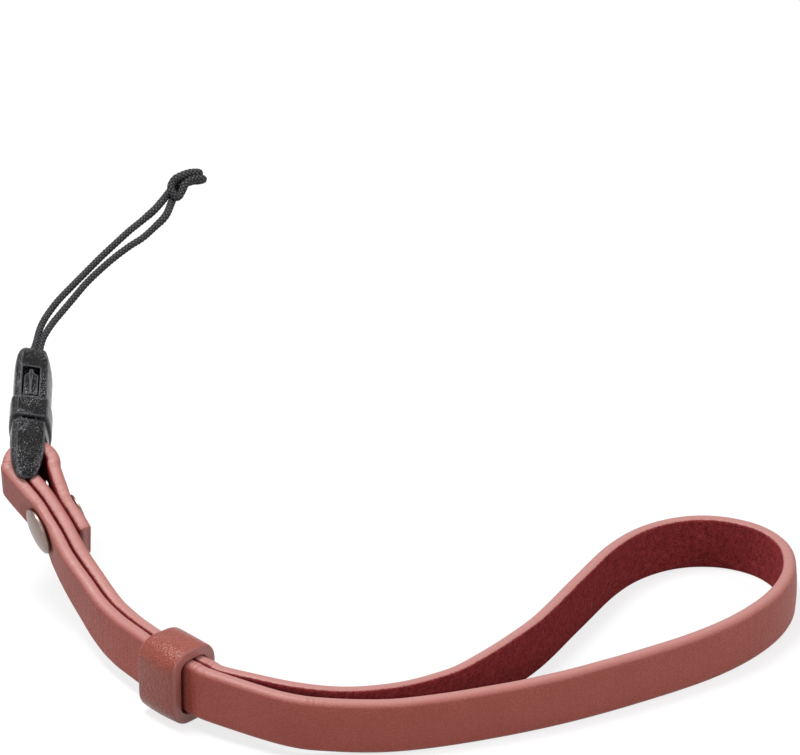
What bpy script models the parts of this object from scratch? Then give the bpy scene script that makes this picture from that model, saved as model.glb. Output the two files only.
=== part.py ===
# A leather wrist strap for a compact camera, in metres, +Z up.
# The strap is folded over the bar of a small side-release buckle and riveted, a keeper loop
# slides on it, and a thin cord joins the buckle to the camera's lug, where the origin is.
import math

import bmesh
import bpy
from mathutils import Matrix, Vector

MM = 0.001

# Leather strap
STRAP_WIDTH = 9.45 * MM
STRAP_THICKNESS = 2.25 * MM
GRAIN_EDGE_RADIUS = 0.8 * MM
FLESH_EDGE_RADIUS = 0.25 * MM
LAYER_GAP = 0.2 * MM
TAIL_PAST_RIVET = 5.4 * MM
MIDDLE_PAST_RIVET = 7.4 * MM
LONGEST_STEP = 3.2 * MM
MOST_TURN = math.radians(9)

# Where the strap leaves the ground and leans back as it climbs to the buckle
GROUND = -0.45 * MM
KEEPER_LIFT = 2.32 * MM
LIFT_FROM_X = 8.0 * MM
LIFT_TO_X = -32.0 * MM
LEAN = math.radians(32)
LEAN_FROM_X = -44.0 * MM
LEAN_TO_X = -62.0 * MM

# Keeper loop, which rides on a round stretch of the strap
KEEPER_LENGTH = 8.5 * MM
KEEPER_WALL = 1.9 * MM
KEEPER_SIDE_PLAY = 0.75 * MM
KEEPER_EDGE_PLAY = 0.3 * MM
KEEPER_CORNER = 1.7 * MM
KEEPER_SHIFT = 0.2 * MM
KEEPER_X = -37.2 * MM
KEEPER_Y = 14.3 * MM
KEEPER_HEADING = math.radians(47.5)
KEEPER_BEND_RADIUS = 68.0 * MM
KEEPER_BEND_REACH = 10.5 * MM

# Rivet
RIVET_FROM_KEEPER = 43.2 * MM
RIVET_CAP_RADIUS = 4.15 * MM
RIVET_CAP_DOME = 1.3 * MM
RIVET_BASE_RADIUS = 3.5 * MM
RIVET_BASE_DOME = 0.6 * MM
RIVET_RIM = 0.4 * MM
RIVET_SINK = 0.3 * MM
RIVET_POST_RADIUS = 1.1 * MM
RIVET_STEM_WALL = 0.5 * MM
RIVET_STEM_LENGTH = 2.2 * MM
RIVET_PLAY = 0.25 * MM

# Buckle
BUCKLE_EDGE_THICKNESS = 5.7 * MM
BUCKLE_MID_THICKNESS = 6.7 * MM
BUCKLE_ROUNDING = 1.1 * MM
STRAP_SIDE_PLAY = 0.4 * MM
RAIL_WIDTH = 1.6 * MM
BAR_CENTRE = 4.05 * MM
BAR_HEIGHT = 3.0 * MM
BAR_THICKNESS = 4.2 * MM
BAR_ASIDE = 0.4 * MM
EYE_RADIUS = 3.92 * MM
EYE_ASIDE = 0.8 * MM
PLUG_FOOT = 0.7 * MM
PLUG_FOOT_LENGTH = 6.1 * MM
PLUG_FOOT_NARROWING = 3.5 * MM
SLOT_TOP = 9.4 * MM
PLUG_BODY_HEIGHT = 12.2 * MM
MOUTH_GAP = 0.4 * MM
COLLAR_LENGTH = 4.0 * MM
COLLAR_PROUD = 0.3 * MM
WINDOW_LENGTH = 5.7 * MM
WINDOW_WIDTH = 2.95 * MM
SOCKET_LENGTH = 14.6 * MM
SOCKET_END_LENGTH = 5.0 * MM
SOCKET_END_NARROWING = 3.2 * MM
SOCKET_SIDE_WALL = 1.1 * MM
CAVITY_HEIGHT = 3.5 * MM
END_WALL = 2.5 * MM
CORD_HOLE_RADIUS = 1.5 * MM
ARM_THICKNESS = 1.3 * MM
ARM_HEIGHT = 2.5 * MM
ARM_PLAY = 0.3 * MM
ARM_TIP_BACK = 0.35 * MM
TONGUE_WIDTH = 3.0 * MM
TONGUE_HEIGHT = 1.6 * MM

# Cord and its stopper knot
CORD_DIAMETER = 1.2 * MM
KNOT_RADIUS = 1.4 * MM
KNOT_GAP = 0.3 * MM

# The camera's lug, seen from where the loop lies on the ground, in mm
LUG = Vector((-35.2, 107.0, 53.9)) * MM

# Middle line of the loop on the ground, from the keeper round to it again, in mm
LOOP_ROUTE = (
    (-19.3, 0.5), (-11.5, -0.4), (-1.0, 0.9), (11.3, 4.4), (26.0, 10.1), (40.0, 17.6),
    (53.2, 26.4), (61.8, 35.6), (66.2, 45.0), (66.4, 54.2), (62.8, 60.9), (56.4, 64.6),
    (49.0, 64.7), (42.2, 61.3), (36.5, 54.8), (29.8, 42.2), (22.2, 28.0), (12.1, 15.2),
    (5.8, 10.0), (-1.4, 6.2), (-9.4, 4.1), (-17.6, 4.4),
)

# Line between the first two layers, from the keeper's bend up to the buckle, in mm
STACK_ROUTE = (
    (-45.4, 24.9, 6.6), (-47.6, 28.4, 6.8), (-49.5, 31.4, 7.4), (-51.5, 35.0, 8.7),
    (-53.5, 38.4, 10.2), (-55.5, 41.6, 12.0), (-57.2, 44.8, 14.0), (-58.9, 47.7, 15.7),
    (-60.0, 49.5, 16.8), (-61.6, 51.7, 18.2), (-63.4, 53.7, 19.5), (-65.2, 55.5, 20.6),
)

# The buckle's foot, in mm: its length runs up from here along the leaning strap
BUCKLE_FOOT = Vector((-64.05, 53.4, 19.3)) * MM
BUCKLE_TILT = math.radians(1.6)

# The cord's two legs, from the buckle up to the hitch, in mm
LEG_ONE = (
    (-63.1, 79.4, 35.6), (-62.5, 81.7, 37.1), (-61.5, 83.7, 38.4), (-59.6, 86.2, 40.1),
    (-57.4, 88.5, 41.6), (-54.7, 91.1, 43.4), (-52.3, 93.4, 45.0), (-49.9, 95.5, 46.5),
    (-47.3, 97.7, 48.1), (-44.9, 99.5, 49.4), (-42.6, 101.2, 50.9),
)
LEG_TWO = (
    (-62.1, 79.6, 35.7), (-61.3, 81.2, 36.8), (-60.2, 82.9, 37.8), (-58.6, 84.7, 39.1),
    (-56.9, 86.7, 40.4), (-54.7, 89.2, 42.1), (-52.3, 91.5, 43.6), (-49.9, 93.4, 45.0),
    (-47.3, 95.2, 46.3), (-44.9, 96.7, 47.3), (-42.7, 98.6, 48.6), (-40.9, 100.4, 49.9),
)

# One half of the hitch, in mm: along it to the lug, across it, and out of it
HITCH_HALF = (
    (0.0, 0.63, -0.35), (2.4, 0.63, -0.6), (4.6, 0.63, -0.9), (5.6, 0.63, -0.75),
    (6.15, 0.63, 0.2), (5.6, 0.63, 1.15), (4.2, 0.63, 1.45), (2.6, 0.8, 1.45),
    (1.4, 1.2, 1.2), (0.3, 1.2, 1.05), (-0.2, 0.63, 1.15),
)
HITCH_REACH = 6.15
HITCH_BOW = 1.1
HITCH_RING = Vector((-39.85, 103.9, 52.3)) * MM
HITCH_OUT = Vector((0.293, -0.748, 0.597))

X_AXIS = Vector((1, 0, 0))
STRAP_UP = Vector((0, math.cos(LEAN), math.sin(LEAN)))
BUCKLE_AXIS = STRAP_UP * math.cos(BUCKLE_TILT) + X_AXIS * math.sin(BUCKLE_TILT)
BUCKLE_BROAD = X_AXIS * math.cos(BUCKLE_TILT) - STRAP_UP * math.sin(BUCKLE_TILT)
BUCKLE_SIDE = Vector((0, -math.sin(LEAN), math.cos(LEAN)))
BUCKLE_WIDTH = STRAP_WIDTH + 2 * STRAP_SIDE_PLAY + 2 * RAIL_WIDTH
LAYER_PITCH = STRAP_THICKNESS + LAYER_GAP
MOUTH = PLUG_BODY_HEIGHT + MOUTH_GAP
SOCKET_TOP = MOUTH + SOCKET_LENGTH
CAVITY_TOP = SOCKET_TOP - END_WALL
WINDOW_BOTTOM = MOUTH + COLLAR_LENGTH
WINDOW_TOP = WINDOW_BOTTOM + WINDOW_LENGTH
KNOT_CENTRE = CAVITY_TOP - 0.3 * MM - KNOT_RADIUS


def clear_scene():
    for thing in list(bpy.data.objects):
        bpy.data.objects.remove(thing, do_unlink=True)


def make_collection(name):
    collection = bpy.data.collections.new(name)
    bpy.context.scene.collection.children.link(collection)
    return collection


def make_material(name, color, roughness, metallic=0.0):
    material = bpy.data.materials.new(name)
    material.use_nodes = True
    shader = material.node_tree.nodes["Principled BSDF"]
    shader.inputs["Base Color"].default_value = (*color, 1.0)
    shader.inputs["Roughness"].default_value = roughness
    shader.inputs["Metallic"].default_value = metallic
    return material


def smoothstep(start, end, value):
    share = min(1.0, max(0.0, (value - start) / (end - start)))
    return share * share * (3 - 2 * share)


def lean_at(x):
    return LEAN * smoothstep(LEAN_FROM_X, LEAN_TO_X, x)


def middle_height(x):
    """How high the strap's middle stands where it rests on the ground or on the keeper."""
    return GROUND + STRAP_WIDTH / 2 + KEEPER_LIFT * smoothstep(LIFT_FROM_X, LIFT_TO_X, x)


def width_direction(x):
    lean = lean_at(x)
    return Vector((0, -math.sin(lean), math.cos(lean)))


def spline_point(a, b, c, d, share):
    """A point between b and c on the smooth curve through all four."""
    return (
        b * 2 + (c - a) * share + (a * 2 - b * 5 + c * 4 - d) * share ** 2
        + (b * 3 - a - c * 3 + d) * share ** 3
    ) / 2


def smooth_line(knots, pieces):
    """The smooth curve through the knots, with each stretch cut into equal pieces."""
    ends = [knots[0] * 2 - knots[1], *knots, knots[-1] * 2 - knots[-2]]
    line = [
        spline_point(*ends[i:i + 4], step / pieces)
        for i in range(len(knots) - 1) for step in range(pieces)
    ]
    return line + [knots[-1].copy()]


def spaced_line(line, sides):
    """Fewer points along the line, closer where it turns, with the side given at each."""
    weights = [0.0]
    for i in range(1, len(line)):
        step = line[i] - line[i - 1]
        turn = step.angle(line[i + 1] - line[i]) if i + 1 < len(line) else 0.0
        weights.append(weights[-1] + max(step.length / LONGEST_STEP, turn / MOST_TURN))
    count = math.ceil(weights[-1])
    points, directions, i = [], [], 1
    for place in range(count + 1):
        goal = weights[-1] * place / count
        while i < len(line) - 1 and weights[i] < goal:
            i += 1
        share = (goal - weights[i - 1]) / (weights[i] - weights[i - 1])
        points.append(line[i - 1].lerp(line[i], share))
        directions.append(sides[i - 1].lerp(sides[i], share).normalized())
    return points, directions


def point_along(line, reach, distance):
    for i in range(1, len(line)):
        if distance <= reach[i] or i == len(line) - 1:
            share = (distance - reach[i - 1]) / (reach[i] - reach[i - 1])
            return line[i - 1].lerp(line[i], share)


def bend_point(distance):
    """A point on the round stretch at the keeper, this far from it towards the buckle."""
    heading = KEEPER_HEADING + distance / KEEPER_BEND_RADIUS
    centre = bend_centre()
    out = Vector((-math.sin(heading), -math.cos(heading), 0)) * KEEPER_BEND_RADIUS
    point = centre + out
    point.z = middle_height(point.x)
    return point


def bend_centre():
    inward = Vector((math.sin(KEEPER_HEADING), math.cos(KEEPER_HEADING), 0))
    return Vector((KEEPER_X, KEEPER_Y, 0)) + inward * KEEPER_BEND_RADIUS


class Stack:
    """The line between the first two layers, from the loop up to the buckle."""

    def __init__(self):
        count = 8
        bend = [
            bend_point(KEEPER_BEND_REACH * (2 * i / count - 1)) for i in range(count + 1)
        ]
        knots = bend + [Vector(point) * MM for point in STACK_ROUTE]
        self.line = smooth_line(knots, 6)
        self.reach = [-KEEPER_BEND_REACH]
        for a, b in zip(self.line, self.line[1:]):
            self.reach.append(self.reach[-1] + (b - a).length)

    def frame(self, distance):
        """Point, direction, outward direction and width direction at a distance."""
        step = 0.2 * MM
        point = point_along(self.line, self.reach, distance)
        ahead = point_along(self.line, self.reach, distance + step)
        along = (ahead - point).normalized()
        across = width_direction(point.x)
        out = across.cross(along).normalized()
        return point, along, out, out.cross(along).normalized() * -1

    def offset(self, distance, out_by):
        """A point this far out of the line between the layers, and the width direction."""
        point, _, out, across = self.frame(distance)
        return point + out * out_by, across


def buckle_point(broad, up, side=0.0):
    return BUCKLE_FOOT + BUCKLE_BROAD * broad + BUCKLE_AXIS * up + BUCKLE_SIDE * side


def eye_knots():
    """The strap's turn over the buckle's bar, from its far side to its near side."""
    first, last, count = math.radians(-4), math.radians(200), 12
    angles = [first + (last - first) * i / count for i in range(count + 1)]
    return [
        (buckle_point(EYE_ASIDE + EYE_RADIUS * math.cos(a),
                      BAR_CENTRE + EYE_RADIUS * math.sin(a)), BUCKLE_SIDE)
        for a in angles
    ]


def strap_knots(stack):
    """The strap's middle line from the tail, over the bar, round the loop and back."""
    near = LAYER_PITCH / 2
    far = -LAYER_PITCH / 2
    tail = -LAYER_PITCH * 3 / 2
    knots = []
    for share in (0, 0.4, 0.8):
        distance = RIVET_FROM_KEEPER - TAIL_PAST_RIVET + share * (TAIL_PAST_RIVET + 4 * MM)
        knots.append(stack.offset(distance, tail))
    knots += eye_knots()
    down = RIVET_FROM_KEEPER + 3.5 * MM
    while down > -KEEPER_BEND_REACH:
        knots.append(stack.offset(down, near))
        down -= 4 * MM
    for x, y in LOOP_ROUTE:
        knots.append((Vector((x * MM, y * MM, middle_height(x * MM))), Vector((0, 0, 1))))
    end = RIVET_FROM_KEEPER + MIDDLE_PAST_RIVET
    count = 16
    for i in range(count + 1):
        up = -KEEPER_BEND_REACH + (end + KEEPER_BEND_REACH) * i / count
        knots.append(stack.offset(up, far))
    return knots


def tilt_for(along, across):
    """How far a section that keeps upright turns about its line to lie across it."""
    upright = Vector((0, 0, 1)) - along * along.z
    upright.normalize()
    return math.atan2(upright.cross(across).dot(along), upright.dot(across))


def strap_section(collection):
    """The strap's section: round shoulders on the grain side, crisp on the flesh side."""
    half_w, half_t = STRAP_WIDTH / 2, STRAP_THICKNESS / 2
    corners = []
    for x_side, y_side, radius, first in (
        (1, 1, GRAIN_EDGE_RADIUS, 0), (-1, 1, FLESH_EDGE_RADIUS, 90),
        (-1, -1, FLESH_EDGE_RADIUS, 180), (1, -1, GRAIN_EDGE_RADIUS, 270),
    ):
        steps = 3 if x_side > 0 else 1
        for i in range(steps + 1):
            angle = math.radians(first + 90 * i / steps)
            corners.append((
                x_side * (half_t - radius) + radius * math.cos(angle),
                y_side * (half_w - radius) + radius * math.sin(angle),
            ))
    curve = bpy.data.curves.new("strap_section", "CURVE")
    curve.dimensions = "2D"
    spline = curve.splines.new("POLY")
    spline.points.add(len(corners) - 1)
    for point, (x, y) in zip(spline.points, corners):
        point.co = (x, y, 0, 1)
    spline.use_cyclic_u = True
    section = bpy.data.objects.new("strap_section", curve)
    section.hide_render = True
    section.display_type = "WIRE"
    collection.objects.link(section)
    return section


def mesh_from_curve(curve_object, name, collection, parent):
    """The curve's solid as a mesh object, with its caps welded on."""
    bpy.context.view_layer.update()
    graph = bpy.context.evaluated_depsgraph_get()
    mesh = bpy.data.meshes.new_from_object(curve_object.evaluated_get(graph))
    shape = bmesh.new()
    shape.from_mesh(mesh)
    bmesh.ops.remove_doubles(shape, verts=shape.verts, dist=1e-6)
    bmesh.ops.recalc_face_normals(shape, faces=shape.faces)
    shape.to_mesh(mesh)
    shape.free()
    solid = bpy.data.objects.new(name, mesh)
    solid.parent = parent
    solid.matrix_world = curve_object.matrix_world.copy()
    collection.objects.link(solid)
    bpy.data.objects.remove(curve_object)
    return solid


def line_curve(name, points):
    curve = bpy.data.curves.new(name, "CURVE")
    curve.dimensions = "3D"
    curve.use_fill_caps = True
    spline = curve.splines.new("POLY")
    spline.points.add(len(points) - 1)
    for place, point in zip(spline.points, points):
        place.co = (*point, 1)
    return curve


def add_boolean(target, cutter, operation="DIFFERENCE"):
    modifier = target.modifiers.new(cutter.name, "BOOLEAN")
    modifier.object = cutter
    modifier.operation = operation
    modifier.solver = "EXACT"


def shade_round(thing, angle=35):
    thing.data.shade_smooth()
    thing.data.set_sharp_from_angle(angle=math.radians(angle))


def make_strap(stack, parts, cutters, table, material):
    section = strap_section(cutters)
    knots = strap_knots(stack)
    line = smooth_line([point for point, _ in knots], 8)
    sides = smooth_line([side for _, side in knots], 8)
    points, sides = spaced_line(line, sides)
    curve = line_curve("strap_line", points)
    curve.twist_mode = "Z_UP"
    curve.bevel_mode = "OBJECT"
    curve.bevel_object = section
    for i, place in enumerate(curve.splines[0].points):
        before, after = points[max(i - 1, 0)], points[min(i + 1, len(points) - 1)]
        along = (after - before).normalized()
        place.tilt = tilt_for(along, sides[i])
    line = bpy.data.objects.new("strap_line", curve)
    line.parent = table
    parts.objects.link(line)
    strap = mesh_from_curve(line, "leather_strap", parts, table)
    strap.data.materials.append(material)
    bore = RIVET_POST_RADIUS + 2 * RIVET_PLAY + RIVET_STEM_WALL
    near, far = near_face() - RIVET_SINK, far_face() + RIVET_SINK
    reach = 1.5 * MM
    shaft = [
        (0, near + reach), (RIVET_CAP_RADIUS + RIVET_PLAY, near + reach),
        (RIVET_CAP_RADIUS + RIVET_PLAY, near), (bore, near), (bore, far),
        (RIVET_BASE_RADIUS + RIVET_PLAY, far), (RIVET_BASE_RADIUS + RIVET_PLAY, far - reach),
        (0, far - reach),
    ]
    hole = turned("rivet_hole", shaft, cutters, table, rivet_matrix(stack), material)
    hole.hide_render = True
    hole.display_type = "WIRE"
    add_boolean(strap, hole)
    shade_round(strap, 50)
    return strap


def near_face():
    """How far out of the line between the layers the strap's near face lies."""
    return LAYER_GAP / 2 + STRAP_THICKNESS


def far_face():
    return -LAYER_GAP * 3 / 2 - STRAP_THICKNESS * 2


def make_cylinder(name, radius, low, high, collection, parent, sides=24):
    mesh = bpy.data.meshes.new(name)
    shape = bmesh.new()
    bmesh.ops.create_cone(
        shape, cap_ends=True, segments=sides, radius1=radius, radius2=radius,
        depth=high - low, matrix=Matrix.Translation((0, 0, (low + high) / 2)),
    )
    shape.to_mesh(mesh)
    shape.free()
    thing = bpy.data.objects.new(name, mesh)
    thing.parent = parent
    collection.objects.link(thing)
    if collection.name == "cutters":
        thing.hide_render = True
        thing.display_type = "WIRE"
    return thing


def rivet_matrix(stack):
    """The rivet's place: its Z points out of the strap's near face."""
    point, along, out, across = stack.frame(RIVET_FROM_KEEPER)
    return Matrix.Translation(point) @ Matrix((along, across, out)).transposed().to_4x4()


def turned(name, profile, parts, parent, matrix, material, steps=28):
    """A round piece turned from its profile, given as radius and height, top to bottom."""
    mesh = bpy.data.meshes.new(name)
    mesh.from_pydata(
        [(radius, 0, height) for radius, height in profile],
        [(i, i + 1) for i in range(len(profile) - 1)], [],
    )
    thing = bpy.data.objects.new(name, mesh)
    thing.parent = parent
    thing.matrix_local = matrix
    screw = thing.modifiers.new("turn", "SCREW")
    screw.axis = "Z"
    screw.steps = steps
    screw.render_steps = steps
    screw.use_merge_vertices = True
    screw.merge_threshold = 1e-6
    screw.use_smooth_shade = True
    mesh.materials.append(material)
    parts.objects.link(thing)
    return thing


def dome_profile(radius, rim, dome, count=6):
    """From the top of a shallow dome down to the foot of its rim."""
    profile = []
    for i in range(count + 1):
        angle = math.pi / 2 * i / count
        profile.append((radius * math.sin(angle), rim + (dome - rim) * math.cos(angle)))
    return profile + [(radius, 0.3 * rim), (radius - 0.3 * rim, 0)]


def make_rivet(stack, parts, table, metal):
    """A domed cap with a tubular stem in front, and a flat base with a post behind."""
    matrix = rivet_matrix(stack)
    face = near_face() - RIVET_SINK + RIVET_PLAY
    bore = RIVET_POST_RADIUS + RIVET_PLAY
    stem = bore + RIVET_STEM_WALL
    foot = face - RIVET_STEM_LENGTH
    ceiling = face + RIVET_RIM
    dome = dome_profile(RIVET_CAP_RADIUS, RIVET_RIM, RIVET_CAP_DOME)
    cap = [(r, h + face) for r, h in dome]
    cap += [(stem, face), (stem, foot), (bore, foot), (bore, ceiling), (0, ceiling)]
    turned("rivet_cap", cap, parts, table, matrix, metal)
    back = far_face() + RIVET_SINK - RIVET_PLAY
    post_top = ceiling - RIVET_PLAY
    below = dome_profile(RIVET_BASE_RADIUS, RIVET_RIM, RIVET_BASE_DOME)[::-1]
    base = [(0, post_top), (RIVET_POST_RADIUS, post_top), (RIVET_POST_RADIUS, back)]
    base += [(r, back - h) for r, h in below]
    turned("rivet_base", base, parts, table, matrix, metal)


def make_keeper(stack, parts, table, material):
    """The keeper: a band of leather bent to a rounded oblong about both layers."""
    point, along, out, across = stack.frame(0)
    half_out = STRAP_THICKNESS + LAYER_GAP / 2 + KEEPER_SIDE_PLAY
    half_up = STRAP_WIDTH / 2 + KEEPER_EDGE_PLAY
    ring = []
    steps = 5
    for x_side, y_side, first in ((1, 1, 0), (-1, 1, 90), (-1, -1, 180), (1, -1, 270)):
        for i in range(steps + 1):
            angle = math.radians(first + 90 * i / steps)
            ring.append((
                x_side * (half_out - KEEPER_CORNER) + KEEPER_CORNER * math.cos(angle),
                y_side * (half_up - KEEPER_CORNER) + KEEPER_CORNER * math.sin(angle),
            ))
    mesh = bpy.data.meshes.new("keeper_loop")
    shape = bmesh.new()
    slices = 5
    rows = []
    for i in range(slices):
        z = KEEPER_LENGTH * (i / (slices - 1) - 0.5)
        heading = z / KEEPER_BEND_RADIUS
        row = []
        for x, y in ring:
            radius = KEEPER_BEND_RADIUS + KEEPER_SHIFT + x
            row.append(shape.verts.new((
                radius * math.cos(heading) - KEEPER_BEND_RADIUS, y, radius * math.sin(heading),
            )))
        rows.append(row)
    for low, high in zip(rows, rows[1:]):
        for i in range(len(ring)):
            after = (i + 1) % len(ring)
            shape.faces.new((low[i], low[after], high[after], high[i]))
    shape.to_mesh(mesh)
    shape.free()
    axis = bend_centre()
    axis.z = point.z
    keeper = bpy.data.objects.new("keeper_loop", mesh)
    keeper.parent = make_empty("keeper_axis", table, Matrix.Translation(axis), parts)
    frame = Matrix((out, across, along)).transposed().to_4x4()
    keeper.matrix_local = Matrix.Translation(point - axis) @ frame
    wall = keeper.modifiers.new("wall", "SOLIDIFY")
    wall.thickness = KEEPER_WALL
    wall.offset = 1.0
    edge = keeper.modifiers.new("edge", "BEVEL")
    edge.width = 0.35 * MM
    edge.segments = 2
    edge.limit_method = "ANGLE"
    edge.angle_limit = math.radians(60)
    mesh.materials.append(material)
    parts.objects.link(keeper)
    shade_round(keeper)
    return keeper


def prism(name, outline, low, high, axis, collection, parent):
    """A flat outline given depth along one of the buckle's axes, x, y or z."""
    order = {"x": (2, 0, 1), "y": (1, 2, 0), "z": (0, 1, 2)}[axis]
    mesh = bpy.data.meshes.new(name)
    shape = bmesh.new()

    def place(u, v, depth):
        values = (u, v, depth)
        return tuple(values[i] for i in order)

    rim = [shape.verts.new(place(u, v, low)) for u, v in outline]
    face = shape.faces.new(rim)
    grown = bmesh.ops.extrude_face_region(shape, geom=[face])
    lifted = [item for item in grown["geom"] if isinstance(item, bmesh.types.BMVert)]
    shift = Vector(place(0, 0, high - low))
    bmesh.ops.translate(shape, vec=shift, verts=lifted)
    bmesh.ops.recalc_face_normals(shape, faces=shape.faces)
    shape.to_mesh(mesh)
    shape.free()
    thing = bpy.data.objects.new(name, mesh)
    thing.parent = parent
    collection.objects.link(thing)
    if collection.name == "cutters":
        thing.hide_render = True
        thing.display_type = "WIRE"
    return thing


def corner_arc(x, y, rx, ry, first, last, steps):
    return [
        (x + rx * math.cos(a), y + ry * math.sin(a))
        for a in (math.radians(first + (last - first) * i / steps) for i in range(steps + 1))
    ]


def pillow_section(width, edge_thickness, mid_thickness, rounding):
    """Across the buckle: x through its thickness, y across its width, broad sides bowed."""
    half_w, half_e = width / 2, edge_thickness / 2
    bow = (mid_thickness - edge_thickness) / 2
    flat = half_w - rounding
    side = []
    count = 8
    for i in range(count + 1):
        y = -flat + 2 * flat * i / count
        side.append((half_e + bow * (1 - (y / flat) ** 2), y))
    steps = 4
    right = side[:-1] + corner_arc(half_e - rounding, flat, rounding, rounding, 0, 90, steps)
    left = [(-x, -y) for x, y in right]
    return right + left


def foot_rings(low, length, thin, narrow, narrow_length, count=8):
    """Heights and scales of a rounded end, from its tip in to the full section."""
    rings = []
    for i in range(count):
        angle = math.pi / 2 * i / count
        rise = length * (1 - math.cos(angle))
        x_scale = thin + (1 - thin) * math.sin(angle)
        run = min(1.0, rise / narrow_length)
        y_scale = narrow + (1 - narrow) * math.sqrt(1 - (1 - run) ** 2)
        rings.append((low + rise, x_scale, y_scale))
    return rings


def lofted(name, section, rings, collection, parent):
    """A solid through scaled copies of a section at given heights."""
    mesh = bpy.data.meshes.new(name)
    shape = bmesh.new()
    rows = [
        [shape.verts.new((x * x_scale, y * y_scale, z)) for x, y in section]
        for z, x_scale, y_scale in rings
    ]
    count = len(section)
    for low, high in zip(rows, rows[1:]):
        for i in range(count):
            after = (i + 1) % count
            shape.faces.new((low[i], low[after], high[after], high[i]))
    shape.faces.new(rows[0][::-1])
    shape.faces.new(rows[-1])
    bmesh.ops.recalc_face_normals(shape, faces=shape.faces)
    shape.to_mesh(mesh)
    shape.free()
    thing = bpy.data.objects.new(name, mesh)
    thing.parent = parent
    collection.objects.link(thing)
    if collection.name == "cutters":
        thing.hide_render = True
        thing.display_type = "WIRE"
    return thing


def box_outline(x_low, x_high, y_low, y_high):
    return [(x_low, y_low), (x_high, y_low), (x_high, y_high), (x_low, y_high)]


def make_plug(parts, cutters, buckle, plastic):
    """The plug: rails and bar for the strap, and two arms and a tongue for the socket."""
    section = pillow_section(
        BUCKLE_WIDTH, BUCKLE_EDGE_THICKNESS, BUCKLE_MID_THICKNESS, BUCKLE_ROUNDING
    )
    rings = foot_rings(PLUG_FOOT, PLUG_FOOT_LENGTH, 0.2, 0.84, PLUG_FOOT_NARROWING)
    rings += [(PLUG_FOOT + PLUG_FOOT_LENGTH, 1, 1)]
    rings += [(PLUG_BODY_HEIGHT - 1.2 * MM, 1, 1), (PLUG_BODY_HEIGHT - 0.5 * MM, 0.97, 0.985)]
    rings += [(PLUG_BODY_HEIGHT - 0.15 * MM, 0.9, 0.955), (PLUG_BODY_HEIGHT, 0.82, 0.93)]
    plug = lofted("buckle_plug", section, rings, parts, buckle)
    inner = STRAP_WIDTH / 2 + STRAP_SIDE_PLAY
    slot = prism("plug_slot", box_outline(-inner, inner, -MM, SLOT_TOP),
                 -BUCKLE_MID_THICKNESS, BUCKLE_MID_THICKNESS, "x", cutters, buckle)
    add_boolean(plug, slot)
    bar_side = corner_arc(BAR_ASIDE, BAR_CENTRE, BAR_THICKNESS / 2, BAR_HEIGHT / 2, 0, 345, 23)
    bar = prism("plug_bar", [(z, x) for x, z in bar_side], -inner - RAIL_WIDTH / 2,
                inner + RAIL_WIDTH / 2, "y", cutters, buckle)
    add_boolean(plug, bar, "UNION")
    for arm in make_arms(cutters, buckle):
        add_boolean(plug, arm, "UNION")
    foot = PLUG_BODY_HEIGHT - 1.5 * MM
    tongue_top = KNOT_CENTRE - KNOT_RADIUS - 0.6 * MM
    half = TONGUE_WIDTH / 2
    tongue_outline = [(-half, foot), (half, foot), (half, tongue_top - MM),
                      (half * 0.5, tongue_top), (-half * 0.5, tongue_top),
                      (-half, tongue_top - MM)]
    tongue = prism("plug_tongue", tongue_outline, -TONGUE_HEIGHT / 2, TONGUE_HEIGHT / 2,
                   "x", cutters, buckle)
    add_boolean(plug, tongue, "UNION")
    plug.data.materials.append(plastic)
    shade_round(plug)
    return plug


def make_arms(cutters, buckle):
    """The two spring arms: each swells to a ridged pad behind a barb, with a pointed tip."""
    root = PLUG_BODY_HEIGHT - 1.5 * MM
    wall = BUCKLE_WIDTH / 2 - SOCKET_SIDE_WALL
    inner = wall - ARM_PLAY - ARM_THICKNESS
    pad = BUCKLE_WIDTH / 2 - 0.3 * MM
    barb = WINDOW_BOTTOM + ARM_PLAY
    tip = WINDOW_TOP - ARM_TIP_BACK
    outline = [
        (inner, root), (wall - ARM_PLAY, root), (wall - ARM_PLAY, barb),
        (pad - 0.1 * MM, barb), (pad, barb + 1.6 * MM), (pad - 0.2 * MM, tip - 1.2 * MM),
        (pad - 0.4 * MM, tip), (inner + 0.5 * MM, tip), (inner, tip - 1.5 * MM),
    ]
    half = ARM_HEIGHT / 2
    arrow = [
        (-half, root - MM), (half, root - MM), (half, tip - 1.3 * MM),
        (0.35 * half, tip - 0.75 * MM), (0.2 * half, tip + 0.1 * MM),
        (-0.2 * half, tip + 0.1 * MM), (-0.35 * half, tip - 0.75 * MM), (-half, tip - 1.3 * MM),
    ]
    roof = [
        (-half, 0), (half, 0), (half, pad - 0.45 * MM), (0.35 * half, pad - 0.3 * MM),
        (0, pad + 0.05 * MM), (-0.35 * half, pad - 0.3 * MM), (-half, pad - 0.45 * MM),
    ]
    arms = []
    for name, sign in (("plug_arm_upper", 1), ("plug_arm_lower", -1)):
        arm = prism(name, [(sign * y, z) for y, z in outline], -half - MM, half + MM,
                    "x", cutters, buckle)
        arrows = prism(name + "_arrow", [(z, x) for x, z in arrow], -BUCKLE_WIDTH,
                       BUCKLE_WIDTH, "y", cutters, buckle)
        roofs = prism(name + "_ridge", [(x, sign * y) for x, y in roof], root - 2 * MM,
                      tip + 2 * MM, "z", cutters, buckle)
        add_boolean(arm, arrows, "INTERSECT")
        add_boolean(arm, roofs, "INTERSECT")
        arms.append(arm)
    return arms


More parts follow.
